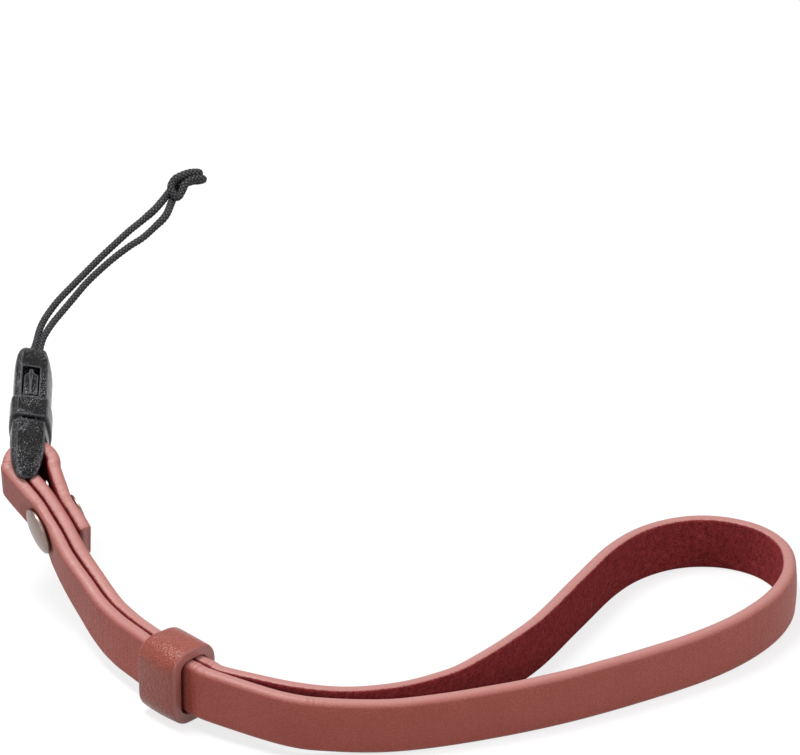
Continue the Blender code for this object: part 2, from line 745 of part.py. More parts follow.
def make_socket(parts, cutters, buckle, plastic):
    """The socket: a bowed shell with a collar, two side windows and the cord's hole."""
    half_w = BUCKLE_WIDTH / 2
    section = pillow_section(
        BUCKLE_WIDTH, BUCKLE_EDGE_THICKNESS, BUCKLE_MID_THICKNESS, BUCKLE_ROUNDING
    )
    top = foot_rings(0, SOCKET_END_LENGTH, 0.42, 0.52, SOCKET_END_NARROWING, 9)[::-1]
    rings = [(MOUTH, 0.96, 0.98), (MOUTH + 0.3 * MM, 1, 1)]
    rings += [(SOCKET_TOP - rise, x, y) for rise, x, y in top]
    socket = lofted("buckle_socket", section, rings, parts, buckle)
    proud = 1 + 2 * COLLAR_PROUD / BUCKLE_EDGE_THICKNESS, 1 + 2 * COLLAR_PROUD / BUCKLE_WIDTH
    high = WINDOW_BOTTOM - 0.15 * MM
    rings = [
        (MOUTH, proud[0] - 0.06, proud[1] - 0.03), (MOUTH + 0.1 * MM, proud[0] - 0.02,
         proud[1] - 0.01), (MOUTH + 0.35 * MM, *proud), (high - 0.4 * MM, *proud),
        (high - 0.15 * MM, proud[0] - 0.03, proud[1] - 0.015), (high, 0.99, 0.995),
    ]
    collar = lofted("socket_collar", section, rings, cutters, buckle)
    add_boolean(socket, collar, "UNION")
    cavity_half = half_w - SOCKET_SIDE_WALL
    cavity = prism("socket_cavity", box_outline(-cavity_half, cavity_half, MOUTH - MM, WINDOW_TOP),
                   -CAVITY_HEIGHT / 2, CAVITY_HEIGHT / 2, "x", cutters, buckle)
    add_boolean(socket, cavity)
    chamber_half = KNOT_RADIUS + 0.8 * MM
    chamber = prism("knot_chamber", box_outline(-chamber_half, chamber_half, WINDOW_BOTTOM,
                    CAVITY_TOP), -CAVITY_HEIGHT / 2, CAVITY_HEIGHT / 2, "x", cutters, buckle)
    add_boolean(socket, chamber)
    window = prism("socket_windows", box_outline(WINDOW_BOTTOM, WINDOW_TOP, -WINDOW_WIDTH / 2,
                   WINDOW_WIDTH / 2), -half_w - MM, half_w + MM, "y", cutters, buckle)
    add_boolean(socket, window)
    hole = make_cylinder("cord_hole", CORD_HOLE_RADIUS, CAVITY_TOP - MM, SOCKET_TOP + MM,
                         cutters, buckle)
    add_boolean(socket, hole)
    socket.data.materials.append(plastic)
    shade_round(socket)
    return socket


def make_knot(parts, buckle, material):
    """The stopper knot behind the cord's hole: three turns of cord drawn tight."""
    turns = 3
    pitch = 2 * KNOT_RADIUS / turns
    profile = [(0, KNOT_RADIUS)]
    for turn in range(turns):
        for angle in (80, 40, 0, -40, -80):
            a = math.radians(angle)
            middle = KNOT_RADIUS - pitch * (turn + 0.5)
            swell = 0.78 if turn != 1 else 1.0
            radius = KNOT_RADIUS * swell - pitch / 2 + pitch / 2 * math.cos(a)
            profile.append((radius, middle + pitch / 2 * math.sin(a)))
    profile.append((0, -KNOT_RADIUS))
    matrix = Matrix.Translation((0, 0, KNOT_CENTRE))
    return turned("cord_knot", profile, parts, buckle, matrix, material, steps=16)


def cord_route():
    """The cord from the knot, up one leg, through the hitch and down the other leg."""
    end_up = KNOT_CENTRE + KNOT_RADIUS + KNOT_GAP
    spread = CORD_DIAMETER / 2 + 0.07 * MM
    inside = [end_up, end_up + 1.2 * MM, SOCKET_TOP + 0.4 * MM]
    up = HITCH_RING - LUG
    towards_lug = -up.normalized()
    out = (HITCH_OUT - towards_lug * HITCH_OUT.dot(towards_lug)).normalized()
    across = out.cross(towards_lug)

    def hitch_point(h, s, n):
        bow = HITCH_BOW * math.sin(math.pi * min(1.0, max(0.0, h / HITCH_REACH)))
        return HITCH_RING + (towards_lug * h + across * (s + bow) + out * n) * MM

    half = [hitch_point(h, s, n) for h, s, n in HITCH_HALF]
    other = [hitch_point(h, -s, n) for h, s, n in reversed(HITCH_HALF)]
    route = [buckle_point(-spread, height) for height in inside]
    route += [Vector(point) * MM for point in LEG_ONE]
    route += half + other
    route += [Vector(point) * MM for point in reversed(LEG_TWO)]
    route += [buckle_point(spread, height) for height in reversed(inside)]
    return route


def make_cord(parts, table, material):
    points = smooth_line(cord_route(), 2)
    points = [p for i, p in enumerate(points) if i % 2 == 0 or is_tight(points, i)]
    curve = line_curve("lug_cord", points)
    curve.twist_mode = "MINIMUM"
    curve.bevel_depth = CORD_DIAMETER / 2
    curve.bevel_resolution = 2
    curve.materials.append(material)
    cord = bpy.data.objects.new("lug_cord", curve)
    cord.parent = table
    parts.objects.link(cord)
    return cord


def is_tight(points, i):
    """Whether the line bends by more than a few degrees at this point."""
    if i == 0 or i == len(points) - 1:
        return True
    return (points[i] - points[i - 1]).angle(points[i + 1] - points[i]) > math.radians(6)


def make_empty(name, parent, matrix, collection):
    empty = bpy.data.objects.new(name, None)
    empty.parent = parent
    empty.matrix_local = matrix
    collection.objects.link(empty)
    return empty


def main():
    clear_scene()
    parts = make_collection("camera_wrist_strap")
    cutters = make_collection("cutters")
    leather = make_material("red leather", (0.275, 0.082, 0.072), 0.55)
    keeper_leather = make_material("glossed red leather", (0.25, 0.05, 0.035), 0.35)
    metal = make_material("nickel plated brass", (0.62, 0.56, 0.53), 0.25, 1.0)
    plastic = make_material("black acetal", (0.012, 0.012, 0.013), 0.42)
    braid = make_material("black braided cord", (0.015, 0.015, 0.017), 0.8)
    table = make_empty("ground_frame", None, Matrix.Translation(-LUG), parts)
    frame = Matrix((BUCKLE_BROAD, BUCKLE_SIDE * -1, BUCKLE_AXIS)).transposed().to_4x4()
    frame = Matrix.Translation(BUCKLE_FOOT) @ frame
    buckle = make_empty("buckle_frame", table, frame, parts)
    stack = Stack()
    make_strap(stack, parts, cutters, table, leather)
    make_rivet(stack, parts, table, metal)
    make_keeper(stack, parts, table, keeper_leather)
    make_plug(parts, cutters, buckle, plastic)
    make_socket(parts, cutters, buckle, plastic)
    make_knot(parts, buckle, braid)
    make_cord(parts, table, braid)


main()
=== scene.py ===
# The looks of a leather wrist strap for a compact camera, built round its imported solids.
# Everything is in metres with +Z up. Sizes written in millimetres are multiplied by mm.
import bpy
import math
from mathutils import Matrix, Vector


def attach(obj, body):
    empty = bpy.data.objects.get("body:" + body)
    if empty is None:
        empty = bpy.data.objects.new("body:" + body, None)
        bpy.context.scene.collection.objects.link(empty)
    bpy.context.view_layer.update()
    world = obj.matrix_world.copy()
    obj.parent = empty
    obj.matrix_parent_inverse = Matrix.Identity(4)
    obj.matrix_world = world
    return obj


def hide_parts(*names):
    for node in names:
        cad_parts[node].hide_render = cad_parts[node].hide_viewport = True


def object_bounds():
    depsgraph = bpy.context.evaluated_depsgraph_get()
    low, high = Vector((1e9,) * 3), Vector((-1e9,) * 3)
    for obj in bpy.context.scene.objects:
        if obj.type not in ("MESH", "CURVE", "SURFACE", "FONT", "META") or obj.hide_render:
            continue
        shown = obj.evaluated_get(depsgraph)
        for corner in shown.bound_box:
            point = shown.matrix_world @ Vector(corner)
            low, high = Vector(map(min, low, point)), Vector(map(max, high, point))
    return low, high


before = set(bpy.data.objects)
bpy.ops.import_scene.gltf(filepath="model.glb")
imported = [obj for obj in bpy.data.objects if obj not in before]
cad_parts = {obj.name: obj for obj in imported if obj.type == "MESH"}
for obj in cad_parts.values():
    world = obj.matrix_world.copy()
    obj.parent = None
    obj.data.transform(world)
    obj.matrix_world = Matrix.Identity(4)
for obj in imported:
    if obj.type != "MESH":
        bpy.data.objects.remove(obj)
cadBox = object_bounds()
bpy.ops.object.select_all(action="DESELECT")
print("frame loaded")

mm = 0.001
table = Vector((35.2, -107.0, -53.9)) * mm      # where the routes below are measured from

# camera: a long lens from the front, looking down on the strap
cameraSettings = {"aim": (0.0, 29.0, 55.27), "distance": 1333.33, "elevation": 27.7, "lens": 360}

elevation = math.radians(cameraSettings["elevation"])
aim = table + Vector(cameraSettings["aim"]) * mm
backwards = Vector((0, -math.cos(elevation), math.sin(elevation)))
bpy.ops.object.camera_add(
    location=aim + backwards * cameraSettings["distance"] * mm,
    rotation=(math.pi / 2 - elevation, 0, 0),
)
camera = bpy.context.object
camera.name = "camera"
camera.data.lens = cameraSettings["lens"]
camera.data.sensor_width = 36
bpy.context.scene.camera = camera
bpy.context.scene.view_settings.view_transform = "Standard"
print("camera placed")


# lines and sweeps

def smoothStep(start, end, value):
    share = min(1.0, max(0.0, (value - start) / (end - start)))
    return share * share * (3 - 2 * share)


def splinePoint(a, b, c, d, share):
    return (
        b * 2 + (c - a) * share + (a * 2 - b * 5 + c * 4 - d) * share ** 2
        + (b * 3 - a - c * 3 + d) * share ** 3
    ) / 2


def smoothLine(knots, pieces):      # a smooth curve through the knots
    ends = [knots[0] * 2 - knots[1], *knots, knots[-1] * 2 - knots[-2]]
    line = [
        splinePoint(*ends[i:i + 4], step / pieces)
        for i in range(len(knots) - 1) for step in range(pieces)
    ]
    return line + [knots[-1].copy()]


def lineReach(line):                # how far along the line each point is
    reach = [0.0]
    for a, b in zip(line, line[1:]):
        reach.append(reach[-1] + (b - a).length)
    return reach


def evenLine(line, step):           # points at equal steps along the line
    reach = lineReach(line)
    count = max(2, round(reach[-1] / step))
    points, i = [], 1
    for place in range(count + 1):
        goal = reach[-1] * place / count
        while i < len(line) - 1 and reach[i] < goal:
            i += 1
        share = (goal - reach[i - 1]) / (reach[i] - reach[i - 1])
        points.append(line[i - 1].lerp(line[i], share))
    return points


sweptMesh = {"weld": 1e-7, "sharpFrom": 50}     # metres, degrees


def wrapGrid(name, rings, across, along, traits, closed=False):
    # a flat grid is added and wrapped: one side runs along the rings, the other round each
    lengthwise = len(rings) if closed else len(rings) - 1
    around = len(rings[0])
    bpy.ops.object.select_all(action="DESELECT")
    bpy.ops.mesh.primitive_grid_add(x_subdivisions=lengthwise, y_subdivisions=around, size=1)
    piece = bpy.context.object
    piece.name = piece.data.name = name
    mesh = piece.data
    places = [
        (round((v.co.x + 0.5) * lengthwise), round((v.co.y + 0.5) * around))
        for v in mesh.vertices
    ]
    girth = across + [across[-1] * 2 - across[-2]] if len(across) == around else across
    length = along + [along[-1] * 2 - along[-2]] if len(along) == lengthwise else along
    for loop in mesh.loops:
        i, j = places[loop.vertex_index]
        mesh.uv_layers[0].data[loop.index].uv = (length[i], girth[j])   # UVs in real metres
    for title, values in traits.items():
        layer = mesh.attributes.new(title, "FLOAT", "POINT")
        for vertex in mesh.vertices:
            i, j = places[vertex.index]
            layer.data[vertex.index].value = values[i % len(rings)][j % around]
    for vertex in mesh.vertices:
        i, j = places[vertex.index]
        vertex.co = rings[i % len(rings)][j % around]
    bpy.ops.object.mode_set(mode="EDIT")
    bpy.ops.mesh.select_all(action="SELECT")
    bpy.ops.mesh.remove_doubles(threshold=sweptMesh["weld"])
    if not closed:
        bpy.ops.mesh.fill_holes(sides=0)
    bpy.ops.mesh.select_all(action="SELECT")
    bpy.ops.mesh.normals_make_consistent(inside=False)
    bpy.ops.object.mode_set(mode="OBJECT")
    bpy.ops.object.shade_smooth_by_angle(angle=math.radians(sweptMesh["sharpFrom"]))
    return piece


def selectOnly(piece):
    bpy.ops.object.select_all(action="DESELECT")
    piece.select_set(True)
    bpy.context.view_layer.objects.active = piece


def finishPiece(piece, body, slot, material, *nodes):
    piece.data.materials.clear()
    piece.data.materials.append(material)
    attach(piece, body)
    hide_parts(*nodes)


# materials

def linearColour(code):             # an sRGB hex colour as linear values
    parts = [int(code[i:i + 2], 16) / 255 for i in (1, 3, 5)]
    return [p / 12.92 if p <= 0.04045 else ((p + 0.055) / 1.055) ** 2.4 for p in parts] + [1.0]


def newMaterial(name):
    material = bpy.data.materials.new(name)
    material.use_nodes = True
    return material, material.node_tree, material.node_tree.nodes["Principled BSDF"]


def addNode(tree, kind, inputs, **settings):
    node = tree.nodes.new(kind)
    for key, value in settings.items():
        setattr(node, key, value)
    for key, value in inputs.items():
        if isinstance(value, bpy.types.NodeSocket):
            tree.links.new(value, node.inputs[key])
        else:
            node.inputs[key].default_value = value
    return node


# aniline-dyed cowhide, grain side up: fine pebbles, edges burnished smooth and paler, the paleness
# partly their own edge paint and partly a painted highlight
grainLook = {
    "face": "#99463a", "faceLight": "#a95448", "edge": "#b17670",
    "deep": "#6e2a23", "valley": 0.25, "fibre": "#6a1117",
    "pebble": 0.3, "pore": 0.16, "mottle": 7.0, "ravel": 0.35,        # mm across
    "creaseAlong": 0.9, "creaseAcross": 9.0,                          # mm across
    "pebbleDepth": 0.1, "poreDepth": 0.05, "creaseDepth": 0.36,       # mm
    "warp": 0.6, "drift": 0.9,      # how the pebbles are pushed out of round, in pebbles
    "valleyFrom": 0.25, "valleyTo": 0.75, "frayFrom": 0.78, "frayTo": 0.98,
    "roughness": 0.48, "smoother": 0.06, "rougher": 0.1, "edgeGloss": 0.14, "refraction": 1.47,
}


def makeGrainLeather(name, look):
    material, tree, shader = newMaterial(name)
    place = addNode(tree, "ShaderNodeTexCoord", {}).outputs["Object"]
    uv = addNode(tree, "ShaderNodeTexCoord", {}).outputs["UV"]
    edge = addNode(tree, "ShaderNodeAttribute", {}, attribute_name="edge").outputs["Fac"]
    creased = addNode(tree, "ShaderNodeAttribute", {}, attribute_name="creased").outputs["Fac"]
    mottle = addNode(tree, "ShaderNodeTexNoise", {
        "Vector": place, "Scale": 1 / (look["mottle"] * mm), "Detail": 5.0, "Roughness": 0.65})
    body = addNode(tree, "ShaderNodeMix", {
        0: mottle.outputs["Fac"], 6: linearColour(look["face"]),
        7: linearColour(look["faceLight"])}, data_type="RGBA")
    warp = addNode(tree, "ShaderNodeTexNoise", {
        "Vector": place, "Scale": look["warp"] / (look["pebble"] * mm), "Detail": 2.0})
    drift = addNode(tree, "ShaderNodeVectorMath", {
        0: warp.outputs["Color"], "Scale": look["pebble"] * mm * look["drift"]}, operation="SCALE")
    pushed = addNode(tree, "ShaderNodeVectorMath", {0: place, 1: drift.outputs[0]},
                     operation="ADD")
    pebbles = addNode(tree, "ShaderNodeTexVoronoi", {
        "Vector": pushed.outputs[0], "Scale": 1 / (look["pebble"] * mm), "Smoothness": 0.6},
        feature="SMOOTH_F1")
    pores = addNode(tree, "ShaderNodeTexNoise", {
        "Vector": place, "Scale": 1 / (look["pore"] * mm), "Detail": 3.0})
    # dye gathers in the valleys between the pebbles
    valley = addNode(tree, "ShaderNodeMapRange", {
        "Value": pebbles.outputs["Distance"], "From Min": look["valleyFrom"],
        "From Max": look["valleyTo"], "To Max": look["valley"]})
    dyed = addNode(tree, "ShaderNodeMix", {
        0: valley.outputs[0], 6: body.outputs[2], 7: linearColour(look["deep"])},
        data_type="RGBA")
    # the edge colour is edge paint, made paler as a painted highlight of the light the edges catch
    painted = addNode(tree, "ShaderNodeMix", {
        0: edge, 6: dyed.outputs[2], 7: linearColour(look["edge"])}, data_type="RGBA")
    # the flesh's fibres ravel over the edge paint, so their border is ragged
    nap = addNode(tree, "ShaderNodeAttribute", {}, attribute_name="nap").outputs["Fac"]
    ravel = addNode(tree, "ShaderNodeTexNoise", {
        "Vector": place, "Scale": 1 / (look["ravel"] * mm), "Detail": 3.0, "Roughness": 0.7})
    ragged = addNode(tree, "ShaderNodeMath", {0: nap, 1: ravel.outputs["Fac"]}, operation="ADD")
    fibres = addNode(tree, "ShaderNodeMapRange", {
        "Value": ragged.outputs[0], "From Min": look["frayFrom"], "From Max": look["frayTo"]})
    frayed = addNode(tree, "ShaderNodeMix", {
        0: fibres.outputs[0], 6: painted.outputs[2], 7: linearColour(look["fibre"])},
        data_type="RGBA")
    tree.links.new(frayed.outputs[2], shader.inputs["Base Color"])
    # creases run across the strap, so they read the UVs: short along, long across
    stretch = addNode(tree, "ShaderNodeMapping", {
        "Vector": uv,
        "Scale": (1 / (look["creaseAlong"] * mm), 1 / (look["creaseAcross"] * mm), 1.0)})
    creases = addNode(tree, "ShaderNodeTexNoise", {
        "Vector": stretch.outputs[0], "Scale": 1.0, "Detail": 3.0, "Distortion": 0.4})
    creaseHeight = addNode(tree, "ShaderNodeMath", {0: creases.outputs["Fac"], 1: creased},
                           operation="MULTIPLY")
    flat = addNode(tree, "ShaderNodeMath", {0: 1.0, 1: edge}, operation="SUBTRACT")
    pebbleHeight = addNode(tree, "ShaderNodeMath", {
        0: pebbles.outputs["Distance"], 1: flat.outputs[0]}, operation="MULTIPLY")
    bump = addNode(tree, "ShaderNodeBump", {
        "Height": creaseHeight.outputs[0], "Distance": look["creaseDepth"] * mm})
    bump = addNode(tree, "ShaderNodeBump", {
        "Height": pebbleHeight.outputs[0], "Distance": look["pebbleDepth"] * mm,
        "Normal": bump.outputs[0]}, invert=True)
    bump = addNode(tree, "ShaderNodeBump", {
        "Height": pores.outputs["Fac"], "Distance": look["poreDepth"] * mm,
        "Normal": bump.outputs[0]})
    tree.links.new(bump.outputs[0], shader.inputs["Normal"])
    rough = addNode(tree, "ShaderNodeMapRange", {
        "Value": pebbles.outputs["Distance"], "From Max": 0.6,
        "To Min": look["roughness"] - look["smoother"],
        "To Max": look["roughness"] + look["rougher"]})
    # the burnished edge is glossier than the face
    shine = addNode(tree, "ShaderNodeMath", {0: edge, 1: look["edgeGloss"]}, operation="MULTIPLY")
    gloss = addNode(tree, "ShaderNodeMath", {0: rough.outputs[0], 1: shine.outputs[0]},
                    operation="SUBTRACT")
    tree.links.new(gloss.outputs[0], shader.inputs["Roughness"])
    shader.inputs["IOR"].default_value = look["refraction"]
    return material


# suede: the hide's split flesh side, a short matt nap that shades in patches
fleshLook = {
    "dark": "#52050a", "light": "#c04a4c", "tint": "#c0504f",
    "nap": 0.22, "patch": 0.9, "napDepth": 0.36,                      # mm
    "patchShare": 0.45, "darkTo": 0.56, "lightFrom": 0.96,
    "roughness": 0.95, "level": 0.15, "sheen": 0.2, "sheenRoughness": 0.5,
}


def makeSuede(name, look):
    material, tree, shader = newMaterial(name)
    place = addNode(tree, "ShaderNodeTexCoord", {}).outputs["Object"]
    nap = addNode(tree, "ShaderNodeTexNoise", {
        "Vector": place, "Scale": 1 / (look["nap"] * mm), "Detail": 6.0, "Roughness": 0.75})
    patch = addNode(tree, "ShaderNodeTexNoise", {
        "Vector": place, "Scale": 1 / (look["patch"] * mm), "Detail": 4.0, "Roughness": 0.7})
    both = addNode(tree, "ShaderNodeMath", {
        0: patch.outputs["Fac"], 1: look["patchShare"], 2: nap.outputs["Fac"]},
        operation="MULTIPLY_ADD")
    spread = addNode(tree, "ShaderNodeMapRange", {
        "Value": both.outputs[0], "From Min": look["darkTo"], "From Max": look["lightFrom"]})
    colour = addNode(tree, "ShaderNodeMix", {
        0: spread.outputs[0], 6: linearColour(look["dark"]), 7: linearColour(look["light"])},
        data_type="RGBA")
    tree.links.new(colour.outputs[2], shader.inputs["Base Color"])
    bump = addNode(tree, "ShaderNodeBump", {
        "Height": nap.outputs["Fac"], "Distance": look["napDepth"] * mm})
    tree.links.new(bump.outputs[0], shader.inputs["Normal"])
    shader.inputs["Roughness"].default_value = look["roughness"]
    shader.inputs["Specular IOR Level"].default_value = look["level"]
    shader.inputs["Sheen Weight"].default_value = look["sheen"]
    shader.inputs["Sheen Roughness"].default_value = look["sheenRoughness"]
    shader.inputs["Sheen Tint"].default_value = linearColour(look["tint"])
    return material


# satin nickel plate: soft wide highlights under a faint haze and fine grit; the metal's grey carries a
# pink cast that is a painted reflection of the red leather round it
nickelLook = {
    # the pink in both colours is a painted reflection of the leather
    "dull": "#74625d", "bright": "#a08c85", "smoothest": 0.26, "roughest": 0.42,
    "haze": 1.5, "grit": 0.1, "gritDepth": 0.002,                     # mm
}


def makeNickel(name, look):
    material, tree, shader = newMaterial(name)
    place = addNode(tree, "ShaderNodeTexCoord", {}).outputs["Object"]
    haze = addNode(tree, "ShaderNodeTexNoise", {
        "Vector": place, "Scale": 1 / (look["haze"] * mm), "Detail": 6.0, "Roughness": 0.7})
    colour = addNode(tree, "ShaderNodeMix", {
        0: haze.outputs["Fac"], 6: linearColour(look["dull"]), 7: linearColour(look["bright"])},
        data_type="RGBA")
    tree.links.new(colour.outputs[2], shader.inputs["Base Color"])
    rough = addNode(tree, "ShaderNodeMapRange", {
        "Value": haze.outputs["Fac"], "To Min": look["smoothest"], "To Max": look["roughest"]})
    tree.links.new(rough.outputs[0], shader.inputs["Roughness"])
    grit = addNode(tree, "ShaderNodeTexNoise", {
        "Vector": place, "Scale": 1 / (look["grit"] * mm), "Detail": 3.0})
    bump = addNode(tree, "ShaderNodeBump", {
        "Height": grit.outputs["Fac"], "Distance": look["gritDepth"] * mm})
    tree.links.new(bump.outputs[0], shader.inputs["Normal"])
    shader.inputs["Metallic"].default_value = 1.0
    return material


# black acetal from a spark-eroded mould: little pits, with painted glints on pale crowns between them
acetalLook = {
    # the crown colour is painted glints on the pits' crowns; the pale grey is a painted highlight
    # along convex edges
    "colour": "#060607", "crown": "#d2d1d6", "edgeHighlight": "#6c6c72",
    "pit": 0.19, "patch": 2.4, "pitDepth": 0.1,                       # mm
    "patchShare": 0.22, "glintFrom": 0.69, "glintTo": 0.82,
    "roughness": 0.14, "smoother": 0.08, "rougher": 0.12, "refraction": 1.48, "level": 0.14,
}


def makeAcetal(name, look):
    material, tree, shader = newMaterial(name)
    place = addNode(tree, "ShaderNodeTexCoord", {}).outputs["Object"]
    pits = addNode(tree, "ShaderNodeTexNoise", {
        "Vector": place, "Scale": 1 / (look["pit"] * mm), "Detail": 4.0, "Roughness": 0.7})
    bump = addNode(tree, "ShaderNodeBump", {
        "Height": pits.outputs["Fac"], "Distance": look["pitDepth"] * mm})
    tree.links.new(bump.outputs[0], shader.inputs["Normal"])
    # patches where the painted glints gather
    glintPatches = addNode(tree, "ShaderNodeTexNoise", {
        "Vector": place, "Scale": 1 / (look["patch"] * mm), "Detail": 2.0})
    glintSpots = addNode(tree, "ShaderNodeMath", {
        0: glintPatches.outputs["Fac"], 1: look["patchShare"], 2: pits.outputs["Fac"]},
        operation="MULTIPLY_ADD")
    # painted glints: the pits' crowns are painted pale where a lamp would glint on them
    crowns = addNode(tree, "ShaderNodeMapRange", {
        "Value": glintSpots.outputs[0], "From Min": look["glintFrom"], "From Max": look["glintTo"]})
    colour = addNode(tree, "ShaderNodeMix", {
        0: crowns.outputs[0], 6: linearColour(look["colour"]), 7: linearColour(look["crown"])},
        data_type="RGBA")
    # painted highlight: convex edges that turn sharply are painted pale
    rim = addNode(tree, "ShaderNodeAttribute", {}, attribute_name="rim").outputs["Fac"]
    edgeHighlight = addNode(tree, "ShaderNodeMath", {0: rim, 1: pits.outputs["Fac"]},
                     operation="MULTIPLY")
    edged = addNode(tree, "ShaderNodeMix", {
        0: edgeHighlight.outputs[0], 6: colour.outputs[2], 7: linearColour(look["edgeHighlight"])},
        data_type="RGBA")
    tree.links.new(edged.outputs[2], shader.inputs["Base Color"])
    rough = addNode(tree, "ShaderNodeMapRange", {
        "Value": pits.outputs["Fac"], "To Min": look["roughness"] - look["smoother"],
        "To Max": look["roughness"] + look["rougher"]})
    tree.links.new(rough.outputs[0], shader.inputs["Roughness"])
    shader.inputs["IOR"].default_value = look["refraction"]
    shader.inputs["Specular IOR Level"].default_value = look["level"]
    return material


# braided polyester: matt black yarn, with a painted highlight making it paler on the crowns where
# fibres catch light
braidLook = {
    "yarn": "#0a0a0b", "fibreGlint": "#77787c", "fibreGlintFrom": 0.36, "fibreGlintTo": 0.6,
    "fibre": 0.09, "fibreDepth": 0.03,                                # mm
    "roughness": 0.72, "level": 0.3,
}


def makeBraid(name, look):
    material, tree, shader = newMaterial(name)
    crown = addNode(tree, "ShaderNodeAttribute", {}, attribute_name="crown").outputs["Fac"]
    place = addNode(tree, "ShaderNodeTexCoord", {}).outputs["Object"]
    fibre = addNode(tree, "ShaderNodeTexNoise", {
        "Vector": place, "Scale": 1 / (look["fibre"] * mm), "Detail": 4.0, "Roughness": 0.7})
    # painted highlight: the fibres on the strand crowns are painted paler
    lit = addNode(tree, "ShaderNodeMath", {0: crown, 1: fibre.outputs["Fac"]},
                  operation="MULTIPLY")
    glint = addNode(tree, "ShaderNodeMapRange", {
        "Value": lit.outputs[0], "From Min": look["fibreGlintFrom"], "From Max": look["fibreGlintTo"]})
    colour = addNode(tree, "ShaderNodeMix", {
        0: glint.outputs[0], 6: linearColour(look["yarn"]), 7: linearColour(look["fibreGlint"])},
        data_type="RGBA")
    tree.links.new(colour.outputs[2], shader.inputs["Base Color"])
    bump = addNode(tree, "ShaderNodeBump", {
        "Height": fibre.outputs["Fac"], "Distance": look["fibreDepth"] * mm})
    tree.links.new(bump.outputs[0], shader.inputs["Normal"])
    shader.inputs["Roughness"].default_value = look["roughness"]
    shader.inputs["Specular IOR Level"].default_value = look["level"]
    return material


grainLeather = makeGrainLeather("dyedCowhide", grainLook)
suede = makeSuede("cowhideSuede", fleshLook)
# its paler edge colour, like the strap's, is partly edge paint and partly a painted highlight
keeperLeather = makeGrainLeather("glazedCowhide", {
    **grainLook, "face": "#803024", "faceLight": "#9b4027", "edge": "#a96962",
    "deep": "#561a12", "roughness": 0.22, "pebble": 0.42, "pebbleDepth": 0.12})
nickel = makeNickel("satinNickel", nickelLook)
acetal = makeAcetal("texturedAcetal", acetalLook)
braid = makeBraid("braidedPolyester", braidLook)
print("materials made")


# buckle's place

leanAngle = math.radians(32)        # how far the strap leans back where the buckle is
buckleTilt = math.radians(1.6)
strapUp = Vector((0, math.cos(leanAngle), math.sin(leanAngle)))
buckleAxis = strapUp * math.cos(buckleTilt) + Vector((1, 0, 0)) * math.sin(buckleTilt)
buckleBroad = Vector((1, 0, 0)) * math.cos(buckleTilt) - strapUp * math.sin(buckleTilt)
buckleSide = Vector((0, -math.sin(leanAngle), math.cos(leanAngle)))
buckleFoot = table + Vector((-64.05, 53.4, 19.3)) * mm


def bucklePoint(broad, up):
    return buckleFoot + (buckleBroad * broad + buckleAxis * up) * mm


# lug cord: from the socket up one leg, round the lug and down the other leg

cordSizes = {
    "diameter": 1.2, "spread": 0.67, "length": 0.1195,       # mm, mm, metres
    "strands": 5, "lay": 3.4, "relief": 0.16, "step": 0.13, "sides": 30,
    "dip": 0.28, "middle": 0.75,    # how low a strand dips under another, its mean height
    "hitchSwell": 0.13, "swellTo": 5.5, "swellEnd": 8.0,     # share, then mm from the hitch's ring
}
cordInside = (24.7, 25.9, 27.6)     # heights in the buckle, mm
legOne = (
    (-63.1, 79.4, 35.6), (-62.5, 81.7, 37.1), (-61.5, 83.7, 38.4), (-59.6, 86.2, 40.1),
    (-57.4, 88.5, 41.6), (-54.7, 91.1, 43.4), (-52.3, 93.4, 45.0), (-49.9, 95.5, 46.5),
    (-47.3, 97.7, 48.1), (-44.9, 99.5, 49.4), (-42.6, 101.2, 50.9),
)
legTwo = (
    (-62.1, 79.6, 35.7), (-61.3, 81.2, 36.8), (-60.2, 82.9, 37.8), (-58.6, 84.7, 39.1),
    (-56.9, 86.7, 40.4), (-54.7, 89.2, 42.1), (-52.3, 91.5, 43.6), (-49.9, 93.4, 45.0),
    (-47.3, 95.2, 46.3), (-44.9, 96.7, 47.3), (-42.7, 98.6, 48.6), (-40.9, 100.4, 49.9),
)
hitchHalf = (       # along the hitch to the lug, across it, out of it
    (0.0, 0.63, -0.35), (2.4, 0.63, -0.6), (4.6, 0.63, -0.9), (5.6, 0.63, -0.75),
    (6.15, 0.63, 0.2), (5.6, 0.63, 1.15), (4.2, 0.63, 1.45), (2.6, 0.8, 1.45),
    (1.4, 1.2, 1.2), (0.3, 1.2, 1.05), (-0.2, 0.63, 1.15),
)
hitchReach, hitchBow = 6.15, 1.1
hitchRing = table + Vector((-39.85, 103.9, 52.3)) * mm
hitchOut = Vector((0.293, -0.748, 0.597))


def cordRoute():
    towardsLug = -hitchRing.normalized()        # the lug's eye is the origin
    out = (hitchOut - towardsLug * hitchOut.dot(towardsLug)).normalized()
    sideways = out.cross(towardsLug)
    spread = cordSizes["spread"]
    route = [bucklePoint(-spread, height) for height in cordInside]
    route += [table + Vector(point) * mm for point in legOne]
    for half, turn in ((hitchHalf, 1), (hitchHalf[::-1], -1)):
        for h, s, n in half:
            bow = hitchBow * math.sin(math.pi * min(1.0, max(0.0, h / hitchReach)))
            route.append(hitchRing + (towardsLug * h + sideways * (s * turn + bow) + out * n) * mm)
    route += [table + Vector(point) * mm for point in legTwo[::-1]]
    route += [bucklePoint(spread, height) for height in cordInside[::-1]]
    return route


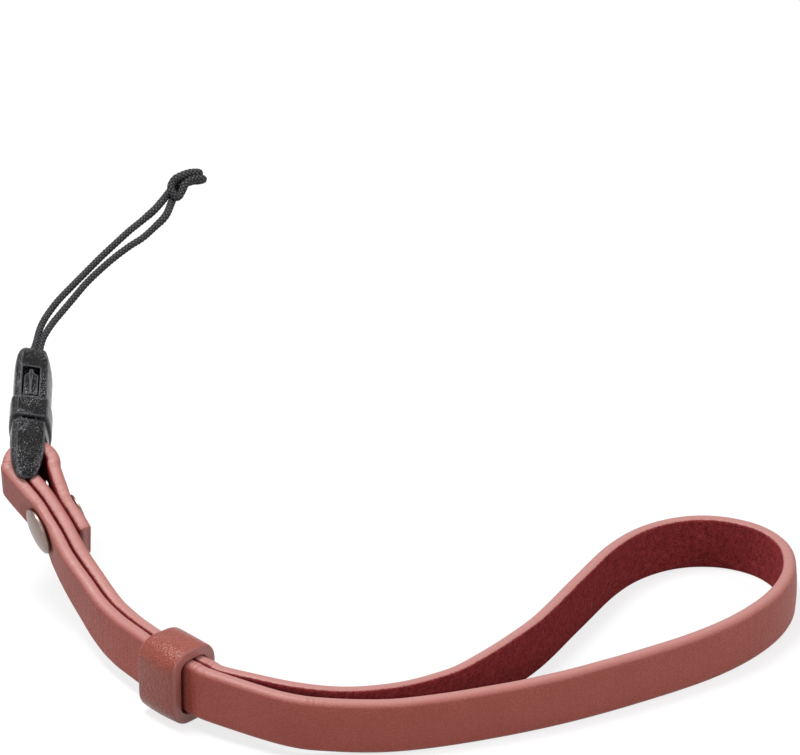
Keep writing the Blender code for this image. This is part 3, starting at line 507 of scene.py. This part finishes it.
def braidedTube(name, path, sizes, radius):
    # a tube whose skin rises and falls as its strands pass over and under each other
    points = evenLine(path, sizes["step"] * mm)
    reach = lineReach(points)
    sides, strands, lay = sizes["sides"], sizes["strands"], sizes["lay"] * mm
    rings, crowns = [], []
    across = None
    for i, point in enumerate(points):
        along = (points[min(i + 1, len(points) - 1)] - points[max(i - 1, 0)]).normalized()
        if across is None:
            across = along.orthogonal().normalized()
        across = (across - along * across.dot(along)).normalized()
        other = along.cross(across)
        ring, crown = [], []
        fromRing = (point - hitchRing).length / mm
        swell = 1 + sizes["hitchSwell"] * (
            1 - smoothStep(sizes["swellTo"], sizes["swellEnd"], fromRing))
        for j in range(sides):
            turn = j / sides
            right = strands * (turn + reach[i] / lay)
            left = strands * (turn - reach[i] / lay)
            evenCell = (math.floor(right) + math.floor(left)) % 2 == 0
            over, under = (right, left) if evenCell else (left, right)
            height = math.sqrt(max(0.0, 1 - (2 * (over % 1) - 1) ** 2))
            height *= 1 - sizes["dip"] + sizes["dip"] * math.sin(math.pi * (under % 1))
            size = radius * swell + (height - sizes["middle"]) * sizes["relief"] * mm
            angle = math.tau * turn
            ring.append(point + (across * math.cos(angle) + other * math.sin(angle)) * size)
            crown.append(height)
        rings.append(ring)
        crowns.append(crown)
    girth = [math.tau * radius * j / sides for j in range(sides)]
    return wrapGrid(name, rings, girth, reach, traits={"crown": crowns})


cordPath = smoothLine(cordRoute(), 12)
print(f"cord is {lineReach(cordPath)[-1]:.4f} m long")
cord = braidedTube("lugCord", cordPath, cordSizes, cordSizes["diameter"] * mm / 2)
finishPiece(cord, "camera_side", "cord_braid", braid, "lug_cord")

# stopper knot behind the cord's hole: three turns of the same cord, drawn tight and thin, mm
knotSizes = {
    "centre": 23.0, "radius": 0.8, "turns": 3, "height": 1.75, "cord": 0.95, "steps": 48,
}

knotPath = []
for step in range(knotSizes["steps"] + 1):
    share = step / knotSizes["steps"]
    angle = math.tau * knotSizes["turns"] * share
    knotPath.append(
        buckleFoot + (
            buckleBroad * knotSizes["radius"] * math.cos(angle)
            + buckleSide * knotSizes["radius"] * math.sin(angle)
            + buckleAxis * (knotSizes["centre"] + knotSizes["height"] * (share - 0.5))
        ) * mm
    )
knot = braidedTube("stopperKnot", smoothLine(knotPath, 4), cordSizes, knotSizes["cord"] * mm / 2)
finishPiece(knot, "camera_side", "cord_braid", braid, "cord_knot")
print("cord and knot made")


# leather strap

strapSizes = {      # mm and degrees
    "width": 9.45, "thickness": 2.25, "grainRound": 0.8, "fleshRound": 0.45, "gap": 0.2,
    "edgeCrown": 0.08, "edgeWander": 0.04, "wanderLong": 4.1, "wanderShort": 1.7, "shortShare": 0.6,
    "cutInset": 0.2, "cutRim": ((0.05, 0.08), (0.16, 0.02)),     # from a cut end, inset there
    "dome": 0.32, "domeFrom": -28.0, "domeTo": -12.0,
    "tailPastRivet": 5.4, "middlePastRivet": 7.4, "rivetFromKeeper": 43.2,
    "tailShares": (0, 0.4, 0.8), "tailToEye": 4, "foldPastRivet": 3.5, "knotStep": 4,
    "eyeFrom": -4, "eyeTo": 200, "eyeKnots": 12, "endKnots": 16, "bendKnots": 8,
    "stackSteps": 12, "lineSteps": 20, "probe": 0.2,
    "bendWindow": 4, "creaseLeast": 0.4, "creaseFrom": 0.015, "creaseTo": 0.08,  # radians per mm
    "ground": -0.45, "keeperLift": 2.32, "liftFrom": 8.0, "liftTo": -32.0,
    "leanFrom": -44.0, "leanTo": -62.0,
    "keeperX": -37.2, "keeperY": 14.3, "keeperHeading": 47.5, "bendRadius": 68.0,
    "bendReach": 10.5, "barCentre": 4.05, "eyeRadius": 3.92, "eyeAside": 0.8,
    "longestStep": 0.9, "mostTurn": 3.0,
}
loopRoute = (       # middle line of the loop on the ground, mm
    (-19.3, 0.5), (-11.5, -0.4), (-1.0, 0.9), (11.3, 4.4), (26.0, 10.1), (40.0, 17.6),
    (53.2, 26.4), (61.8, 35.6), (66.2, 45.0), (66.4, 54.2), (62.8, 60.9), (56.4, 64.6),
    (49.0, 64.7), (42.2, 61.3), (36.5, 54.8), (29.8, 42.2), (22.2, 28.0), (12.1, 15.2),
    (5.8, 10.0), (-1.4, 6.2), (-9.4, 4.1), (-17.6, 4.4),
)
stackRoute = (      # between the first two layers, from the keeper's bend up to the buckle, mm
    (-45.4, 24.9, 6.6), (-47.6, 28.4, 6.8), (-49.5, 31.4, 7.4), (-51.5, 35.0, 8.7),
    (-53.5, 38.4, 10.2), (-55.5, 41.6, 12.0), (-57.2, 44.8, 14.0), (-58.9, 47.7, 15.7),
    (-60.0, 49.5, 16.8), (-61.6, 51.7, 18.2), (-63.4, 53.7, 19.5), (-65.2, 55.5, 20.6),
)
layerPitch = strapSizes["thickness"] + strapSizes["gap"]


def middleHeight(x):                # mm, where the strap stands on the ground or the keeper
    lift = smoothStep(strapSizes["liftFrom"], strapSizes["liftTo"], x)
    return strapSizes["ground"] + strapSizes["width"] / 2 + strapSizes["keeperLift"] * lift


def widthDirection(x):
    lean = leanAngle * smoothStep(strapSizes["leanFrom"], strapSizes["leanTo"], x)
    return Vector((0, -math.sin(lean), math.cos(lean)))


def bendPoint(distance):            # on the round stretch that the keeper slides along
    radius = strapSizes["bendRadius"]
    start = math.radians(strapSizes["keeperHeading"])
    heading = start + distance / radius
    x = strapSizes["keeperX"] + radius * (math.sin(start) - math.sin(heading))
    y = strapSizes["keeperY"] + radius * (math.cos(start) - math.cos(heading))
    return Vector((x, y, middleHeight(x)))


def stackLine():
    reach = strapSizes["bendReach"]
    count = strapSizes["bendKnots"]
    bend = [bendPoint(reach * (2 * i / count - 1)) for i in range(count + 1)]
    return smoothLine(bend + [Vector(point) for point in stackRoute], strapSizes["stackSteps"])


stack = stackLine()
stackReach = [place - strapSizes["bendReach"] for place in lineReach(stack)]


def stackPoint(distance):
    i = 1
    while i < len(stack) - 1 and stackReach[i] < distance:
        i += 1
    share = (distance - stackReach[i - 1]) / (stackReach[i] - stackReach[i - 1])
    return stack[i - 1].lerp(stack[i], share)


def stackFrame(distance):           # point, and the directions along, out of and across the strap
    point = stackPoint(distance)
    along = (stackPoint(distance + strapSizes["probe"]) - point).normalized()
    across = widthDirection(point.x)
    out = across.cross(along).normalized()
    return point, along, out, along.cross(out).normalized()


def strapKnots():                   # the whole folded strap, from its tail to its inner end
    sizes = strapSizes
    knots = []

    def layer(distance, outBy):
        point, along, out, across = stackFrame(distance)
        knots.append((point + out * outBy, across))

    for share in sizes["tailShares"]:
        layer(sizes["rivetFromKeeper"] - sizes["tailPastRivet"]
              + share * (sizes["tailPastRivet"] + sizes["tailToEye"]), -layerPitch * 1.5)
    span = sizes["eyeTo"] - sizes["eyeFrom"]
    for i in range(sizes["eyeKnots"] + 1):      # over the buckle's bar
        angle = math.radians(sizes["eyeFrom"] + span * i / sizes["eyeKnots"])
        point = bucklePoint(sizes["eyeAside"] + sizes["eyeRadius"] * math.cos(angle),
                            sizes["barCentre"] + sizes["eyeRadius"] * math.sin(angle))
        knots.append(((point - table) / mm, buckleSide))
    down = sizes["rivetFromKeeper"] + sizes["foldPastRivet"]
    while down > -sizes["bendReach"]:
        layer(down, layerPitch / 2)
        down -= sizes["knotStep"]
    for x, y in loopRoute:
        knots.append((Vector((x, y, middleHeight(x))), Vector((0, 0, 1))))
    end = sizes["rivetFromKeeper"] + sizes["middlePastRivet"]
    for i in range(sizes["endKnots"] + 1):
        layer(-sizes["bendReach"] + (end + sizes["bendReach"]) * i / sizes["endKnots"],
              -layerPitch / 2)
    return knots


def spacedLine(line, sides):        # closer together where the strap turns
    weights = [0.0]
    for i in range(1, len(line)):
        step = line[i] - line[i - 1]
        turn = step.angle(line[i + 1] - line[i]) if i + 1 < len(line) else 0.0
        weights.append(weights[-1] + max(
            step.length / strapSizes["longestStep"], math.degrees(turn) / strapSizes["mostTurn"]))
    count = math.ceil(weights[-1])
    points, directions, i = [], [], 1
    for place in range(count + 1):
        goal = weights[-1] * place / count
        while i < len(line) - 1 and weights[i] < goal:
            i += 1
        share = (goal - weights[i - 1]) / (weights[i] - weights[i - 1])
        points.append(line[i - 1].lerp(line[i], share))
        directions.append(sides[i - 1].lerp(sides[i], share).normalized())
    return points, directions


def strapSection():         # (out, across, edge, flesh and nap shares) round the section, mm
    halfT, halfW = strapSizes["thickness"] / 2, strapSizes["width"] / 2
    grain, flesh = strapSizes["grainRound"], strapSizes["fleshRound"]
    steps, spans, paint = 6, 15, 0.3        # in an arc, across a face, edge paint on the flesh
    section = []

    def addArc(x, y, radius, first, edges, fleshes, naps=(0, 0)):
        for i in range(steps + 1):
            angle = math.radians(first + 90 * i / steps)
            section.append((x + radius * math.cos(angle), y + radius * math.sin(angle),
                            edges[0] + (edges[1] - edges[0]) * i / steps,
                            fleshes[0] if i < steps / 2 else fleshes[1],
                            naps[0] + (naps[1] - naps[0]) * i / steps))

    addArc(halfT - grain, halfW - grain, grain, 0, (0, 1), (0, 0))
    section.append(((flesh - grain) / 2, halfW, 1, 0, 0))
    addArc(flesh - halfT, halfW - flesh, flesh, 90, (1, paint), (0, 1), (0, 1))
    for i in range(1, spans):
        section.append((-halfT, (halfW - flesh) * (1 - 2 * i / spans), paint, 1, 1))
    addArc(flesh - halfT, flesh - halfW, flesh, 180, (paint, 1), (1, 0), (1, 0))
    section.append(((flesh - grain) / 2, -halfW, 1, 0, 0))
    addArc(halfT - grain, grain - halfW, grain, 270, (1, 0), (0, 0))
    for i in range(1, spans):
        section.append((halfT, (halfW - grain) * (2 * i / spans - 1), 0, 0, 0))
    return section


rivetDent = {       # mm
    "cap": 4.3, "capReach": 6.4, "base": 3.7, "baseReach": 5.4, "depth": 0.32, "near": 0.7,
}
nearFace = strapSizes["gap"] / 2 + strapSizes["thickness"]
farFace = -strapSizes["gap"] * 1.5 - strapSizes["thickness"] * 2
rivetPoint, rivetAlong, rivetOut, rivetAcross = stackFrame(strapSizes["rivetFromKeeper"])


def dentAtRivet(point):             # the leather is drawn in round the rivet's cap and base
    away = point - rivetPoint
    height = away.dot(rivetOut)
    radius = math.hypot(away.dot(rivetAlong), away.dot(rivetAcross))
    if abs(height - nearFace) < rivetDent["near"]:
        share = 1 - smoothStep(rivetDent["cap"], rivetDent["capReach"], radius)
        return point - rivetOut * rivetDent["depth"] * share
    if abs(height - farFace) < rivetDent["near"]:
        share = 1 - smoothStep(rivetDent["base"], rivetDent["baseReach"], radius)
        return point + rivetOut * rivetDent["depth"] * share
    return point


def makeStrap():
    knots = strapKnots()
    line = smoothLine([point for point, _ in knots], strapSizes["lineSteps"])
    sides = smoothLine([side for _, side in knots], strapSizes["lineSteps"])
    points, sides = spacedLine(line, sides)
    insets = [0.0] * len(points)
    for first, second in ((0, 1), (-1, -2)):        # both cut ends get a soft rim
        a, b = points[first], points[second]
        length = (b - a).length
        extra = [(a.lerp(b, step / length), inset) for step, inset in strapSizes["cutRim"]]
        place = 1 if first == 0 else len(points) - 1
        for point, inset in (extra[::-1] if first == 0 else extra):
            points.insert(place, point)
            sides.insert(place, sides[first].copy())
            insets.insert(place, inset)
        insets[first] = strapSizes["cutInset"]
    section = strapSection()
    halfT, halfW = strapSizes["thickness"] / 2, strapSizes["width"] / 2
    rings, edges, fleshes, naps, creases = [], [], [], [], []
    reach = lineReach(points)
    for i, point in enumerate(points):
        before, after = points[max(i - 1, 0)], points[min(i + 1, len(points) - 1)]
        along = (after - before).normalized()
        across = (sides[i] - along * along.dot(sides[i])).normalized()
        out = along.cross(across)
        thin, narrow = 1 - insets[i] / halfT, 1 - insets[i] / halfW
        ring = []
        short = strapSizes["shortShare"]
        wander = strapSizes["edgeWander"] * (
            math.sin(reach[i] / strapSizes["wanderLong"])
            + short * math.sin(reach[i] / strapSizes["wanderShort"] + 1)) / (1 + short)
        dome = strapSizes["dome"] * smoothStep(
            strapSizes["domeFrom"], strapSizes["domeTo"], point.x)
        for x, y, *_ in section:
            # the lower edge stays flat, because the strap stands on it
            rise = wander * max(0.0, y) / halfW
            if y > halfW - 0.01:
                rise += strapSizes["edgeCrown"] * (1 - (x / halfT) ** 2)
            swellOut = dome * (1 - (y / halfW) ** 2) if x > 0 else 0.0
            place = point + out * (x + swellOut) * thin + across * (y + rise) * narrow
            ring.append(table + dentAtRivet(place) * mm)
        rings.append(ring)
        edges.append([spot[2] for spot in section])
        fleshes.append([spot[3] for spot in section])
        naps.append([spot[4] for spot in section])
        window = strapSizes["bendWindow"]
        ahead = points[min(i + window, len(points) - 1)] - point
        behind = point - points[max(i - window, 0)]
        bend = 0.0
        if ahead.length > 1e-6 and behind.length > 1e-6:
            bend = behind.angle(ahead) / (ahead.length + behind.length) * 2
        least = strapSizes["creaseLeast"]
        bent = smoothStep(strapSizes["creaseFrom"], strapSizes["creaseTo"], bend)
        creases.append([least + (1 - least) * bent] * len(section))
    girth = [0.0]
    for a, b in zip(section, section[1:]):
        girth.append(girth[-1] + math.hypot(b[0] - a[0], b[1] - a[1]) * mm)
    return wrapGrid("leatherStrap", rings, girth, [place * mm for place in reach],
                    traits={"edge": edges, "flesh": fleshes, "nap": naps, "creased": creases})


strap = makeStrap()
finishPiece(strap, "strap_side", "strap_leather", grainLeather, "leather_strap")
strap.data.materials.append(suede)
fleshSide = strap.data.attributes["flesh"].data
for face in strap.data.polygons:
    if all(fleshSide[v].value > 0.5 for v in face.vertices):
        face.material_index = 1
print(f"strap made, {len(strap.data.polygons)} faces")


# keeper: a band of leather bent round both layers

keeperSizes = {     # mm
    "length": 8.5, "wall": 1.9, "sidePlay": 0.75, "edgePlay": 0.3, "corner": 1.8, "shift": 0.2,
    "outerRound": 0.45, "innerRound": 0.2, "crown": 0.12,
}


def makeKeeper():
    sizes = keeperSizes
    point, along, out, across = stackFrame(0)
    halfOut = strapSizes["thickness"] + strapSizes["gap"] / 2 + sizes["sidePlay"]
    halfUp = strapSizes["width"] / 2 + sizes["edgePlay"]
    corner = sizes["corner"]
    ring = []                       # inner face: place and outward direction round the band
    for xSide, ySide, first, flat in (
        (1, 1, 0, 6), (-1, 1, 90, 14), (-1, -1, 180, 6), (1, -1, 270, 14)
    ):
        centre = Vector((xSide * (halfOut - corner), ySide * (halfUp - corner)))
        for i in range(11):
            angle = math.radians(first + 9 * i)
            facing = Vector((math.cos(angle), math.sin(angle)))
            ring.append((centre + facing * corner, facing))
        span = 2 * (halfOut - corner) if flat == 6 else 2 * (halfUp - corner)
        step = Vector((-facing.y, facing.x)) * span / flat
        ring += [(ring[-1][0] + step * i, facing) for i in range(1, flat)]
    wall, half = sizes["wall"], sizes["length"] / 2
    outer, inner = sizes["outerRound"], sizes["innerRound"]
    section = []                    # out of the band, along it, edge share
    for i in range(7):
        a = math.radians(90 - 15 * i)
        section.append((wall - outer + outer * math.sin(a), half - outer + outer * math.cos(a), i / 6))
    section.append(((wall - outer + inner) / 2, half, 1))
    for i in range(4):
        a = math.radians(30 * i)
        section.append((inner - inner * math.sin(a), half - inner + inner * math.cos(a), 1))
    section += [(0, (half - inner) * (1 - 2 * i / 8), 1) for i in range(1, 8)]
    mirrored = [(w, -z, edge) for w, z, edge in section[7:12][::-1]]
    mirrored += [(w, -z, edge) for w, z, edge in section[:7][::-1]]
    section += mirrored
    section += [(wall, -(half - outer) * (1 - 2 * i / 12), 0) for i in range(1, 12)]
    radius = strapSizes["bendRadius"]
    rings, edges = [], []
    for place, facing in ring:
        loop = []
        for w, z, _ in section:
            bulge = sizes["crown"] * (1 - (z / half) ** 2) if w > wall / 2 else 0
            x, y = place + facing * (w + bulge)
            heading = z / radius
            arm = radius + sizes["shift"] + x
            spot = point + out * (arm * math.cos(heading) - radius) + across * y
            loop.append(table + (spot + along * arm * math.sin(heading)) * mm)
        rings.append(loop)
        edges.append([edge for _, _, edge in section])
    reach, girth = [0.0], [0.0]
    for (a, _), (b, _) in zip(ring, ring[1:]):
        reach.append(reach[-1] + (b - a).length * mm)
    for a, b in zip(section, section[1:]):
        girth.append(girth[-1] + math.hypot(b[0] - a[0], b[1] - a[1]) * mm)
    return wrapGrid("keeperLoop", rings, girth, reach, closed=True, traits={"edge": edges})


keeper = makeKeeper()
finishPiece(keeper, "keeper", "keeper_leather", keeperLeather, "keeper_loop")
print("keeper made")


# rivet: a domed cap in front, a flatter base behind

rivetSizes = {
    "capRadius": 4.15, "capDome": 1.3, "baseRadius": 3.5, "baseDome": 0.6, "rim": 0.4,
    "sink": 0.3, "play": 0.25, "bevel": 0.14, "capStem": 1.85, "capStemLength": 2.2,
    "baseStem": 1.1, "baseStemLength": 6.0,                  # mm
    "sides": 72, "steps": 12, "lastAngle": 89,               # the dome stops short of a point
}


def selectFaces(piece, test):
    bpy.ops.object.mode_set(mode="EDIT")
    bpy.ops.mesh.select_mode(type="FACE")
    bpy.ops.mesh.select_all(action="DESELECT")
    bpy.ops.object.mode_set(mode="OBJECT")
    for face in piece.data.polygons:
        face.select = test(face)
    bpy.ops.object.mode_set(mode="EDIT")


def makeRivetHead(name, radius, dome, stem, stemLength):
    sizes = rivetSizes
    rim, steps = sizes["rim"] * mm, sizes["steps"]
    bpy.ops.object.select_all(action="DESELECT")
    bpy.ops.mesh.primitive_cylinder_add(
        vertices=sizes["sides"], radius=radius * mm, depth=rim, location=(0, 0, rim / 2))
    piece = bpy.context.object
    piece.name = piece.data.name = name
    bpy.ops.object.transform_apply(location=True, rotation=False, scale=False)
    selectFaces(piece, lambda face: face.normal.z > 0.9)
    for i in range(steps):          # the dome rises in ever smaller insets
        low, high = math.pi / 2 * i / steps, math.pi / 2 * (i + 1) / steps
        if i == steps - 1:
            high = math.radians(sizes["lastAngle"])
        bpy.ops.mesh.inset(thickness=radius * mm * (math.cos(low) - math.cos(high)))
        rise = (dome - sizes["rim"]) * mm * (math.sin(high) - math.sin(low))
        bpy.ops.transform.translate(value=(0, 0, rise))
    bpy.ops.object.mode_set(mode="OBJECT")
    selectFaces(piece, lambda face: face.normal.z < -0.9)
    bpy.ops.mesh.bevel(offset=sizes["bevel"] * mm, segments=3)
    bpy.ops.object.mode_set(mode="OBJECT")
    selectFaces(piece, lambda face: face.normal.z < -0.9 and face.area > 1e-6)
    bpy.ops.mesh.inset(thickness=(radius - sizes["bevel"] - stem) * mm)
    bpy.ops.mesh.extrude_region_move(TRANSFORM_OT_translate={"value": (0, 0, -stemLength * mm)})
    bpy.ops.object.mode_set(mode="OBJECT")
    bpy.ops.object.shade_smooth_by_angle(angle=math.radians(40))
    return piece


def placeOnStrap(piece, height, turn):
    axes = (rivetAlong, rivetAcross, rivetOut) if turn == 1 else (rivetAlong, -rivetAcross, -rivetOut)
    spin = Matrix(axes).transposed().to_4x4()
    piece.matrix_world = Matrix.Translation(table + (rivetPoint + rivetOut * height) * mm) @ spin
    bpy.context.view_layer.update()
    selectOnly(piece)
    bpy.ops.object.transform_apply(location=True, rotation=True, scale=True)


rivetCap = makeRivetHead("rivetCap", rivetSizes["capRadius"], rivetSizes["capDome"],
                         rivetSizes["capStem"], rivetSizes["capStemLength"])
placeOnStrap(rivetCap, nearFace - rivetSizes["sink"] + rivetSizes["play"], 1)
finishPiece(rivetCap, "strap_side", "rivet_metal", nickel, "rivet_cap")
rivetBase = makeRivetHead("rivetBase", rivetSizes["baseRadius"], rivetSizes["baseDome"],
                          rivetSizes["baseStem"], rivetSizes["baseStemLength"])
placeOnStrap(rivetBase, farFace + rivetSizes["sink"] - rivetSizes["play"], -1)
finishPiece(rivetBase, "strap_side", "rivet_metal", nickel, "rivet_base")
print("rivet made")


# buckle

buckleSizes = {
    "weld": 0.001, "voxel": 0.11,                    # mm
    "softening": 0.5, "passes": 3,
    "highlightFrom": 0.07, "highlightTo": 0.24,                  # how sharply an edge turns, for its painted highlight
}


def makeMoulding(name, node):
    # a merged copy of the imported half, remeshed finely and softened so no edge stays knife sharp
    piece = bpy.data.objects.new(name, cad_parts[node].data.copy())
    bpy.context.scene.collection.objects.link(piece)
    selectOnly(piece)
    bpy.ops.object.mode_set(mode="EDIT")
    bpy.ops.mesh.select_all(action="SELECT")
    bpy.ops.mesh.remove_doubles(threshold=buckleSizes["weld"] * mm)
    bpy.ops.object.mode_set(mode="OBJECT")
    remesh = piece.modifiers.new("skin", "REMESH")
    remesh.mode = "VOXEL"
    remesh.voxel_size = buckleSizes["voxel"] * mm
    soft = piece.modifiers.new("softened", "SMOOTH")
    soft.factor = buckleSizes["softening"]
    soft.iterations = buckleSizes["passes"]
    for modifier in ("skin", "softened"):
        bpy.ops.object.modifier_apply(modifier=modifier)
    bpy.ops.object.shade_smooth()
    mesh = piece.data
    bulge = [0.0] * len(mesh.vertices)      # how far the skin turns away round each vertex
    for edge in mesh.edges:
        a, b = (mesh.vertices[v] for v in edge.vertices)
        step = (b.co - a.co).normalized()
        turn = (b.normal - a.normal).dot(step)
        bulge[a.index] = max(bulge[a.index], turn)
        bulge[b.index] = max(bulge[b.index], turn)
    # rim: how much painted edge highlight each vertex gets
    rim = mesh.attributes.new("rim", "FLOAT", "POINT")
    for vertex in mesh.vertices:
        rim.data[vertex.index].value = smoothStep(
            buckleSizes["highlightFrom"], buckleSizes["highlightTo"], bulge[vertex.index])
    print(f"{name} has {len(mesh.polygons)} faces")
    return piece


for name, node, body in (
    ("bucklePlug", "buckle_plug", "strap_side"), ("buckleSocket", "buckle_socket", "camera_side")
):
    finishPiece(makeMoulding(name, node), body, "buckle_plastic", acetal, node)
print("buckle made")


# floor, backdrop and lights

floorZ = cadBox[0][2]
floorLook = {"bounce": "#7c7b79", "seen": "#ffffff", "lift": 0.75, "roughness": 0.8, "size": 8}


def makeFloorMaterial(look):
    # matt white laminate; what the camera and mirrors see of it is lifted towards white
    material, tree, shader = newMaterial("whiteLaminate")
    shader.inputs["Roughness"].default_value = look["roughness"]
    rays = addNode(tree, "ShaderNodeLightPath", {})
    seen = addNode(tree, "ShaderNodeMath", {
        0: rays.outputs["Is Camera Ray"], 1: rays.outputs["Is Glossy Ray"]}, operation="MAXIMUM")
    colour = addNode(tree, "ShaderNodeMix", {
        0: seen.outputs[0], 6: linearColour(look["bounce"]), 7: linearColour(look["seen"])},
        data_type="RGBA")
    tree.links.new(colour.outputs[2], shader.inputs["Base Color"])
    share = addNode(tree, "ShaderNodeMath", {0: seen.outputs[0], 1: look["lift"]},
                    operation="MULTIPLY")
    glow = addNode(tree, "ShaderNodeEmission", {"Color": (1, 1, 1, 1), "Strength": 1.0})
    mixed = addNode(tree, "ShaderNodeMixShader", {
        0: share.outputs[0], 1: shader.outputs[0], 2: glow.outputs[0]})
    tree.links.new(mixed.outputs[0], tree.nodes["Material Output"].inputs["Surface"])
    return material


bpy.ops.object.select_all(action="DESELECT")
bpy.ops.mesh.primitive_plane_add(size=floorLook["size"], location=(0, 0, floorZ))
floor = bpy.context.object
floor.name = "floor"
floor.data.materials.append(makeFloorMaterial(floorLook))

# the sky is dim for the light it gives, and white where the camera or a mirror sees it
skyLevels = {"given": 0.38, "seen": 1.0}
world = bpy.context.scene.world or bpy.data.worlds.new("studio")
bpy.context.scene.world = world
world.use_nodes = True
sky = world.node_tree.nodes["Background"]
sky.inputs["Color"].default_value = (1, 1, 1, 1)
rays = addNode(world.node_tree, "ShaderNodeLightPath", {})
seen = addNode(world.node_tree, "ShaderNodeMath", {
    0: rays.outputs["Is Camera Ray"], 1: rays.outputs["Is Glossy Ray"]}, operation="MAXIMUM")
level = addNode(world.node_tree, "ShaderNodeMapRange", {
    "Value": seen.outputs[0], "To Min": skyLevels["given"], "To Max": skyLevels["seen"]})
world.node_tree.links.new(level.outputs[0], sky.inputs["Strength"])

lampAim = (0, 40, 15)       # mm on the table
lamps = {                   # metres and watts
    "overhead": {"place": (-0.2, 0.0, 0.7), "size": 0.28, "watts": 5.0},
    "front": {"place": (-0.4, -0.85, 0.35), "size": 0.25, "watts": 1.55},
    "right": {"place": (0.7, -0.4, 0.3), "size": 0.3, "watts": 1.9},
    "left": {"place": (-0.75, -0.25, 0.45), "size": 0.12, "watts": 0.7},
}
lit = table + Vector(lampAim) * mm
for name, lamp in lamps.items():
    place = Vector(lamp["place"])
    bpy.ops.object.light_add(
        type="AREA", location=place, rotation=(lit - place).to_track_quat("-Z", "Y").to_euler())
    light = bpy.context.object
    light.name = name
    light.data.size = lamp["size"]
    light.data.energy = lamp["watts"]
print("studio set")

bpy.context.view_layer.update()
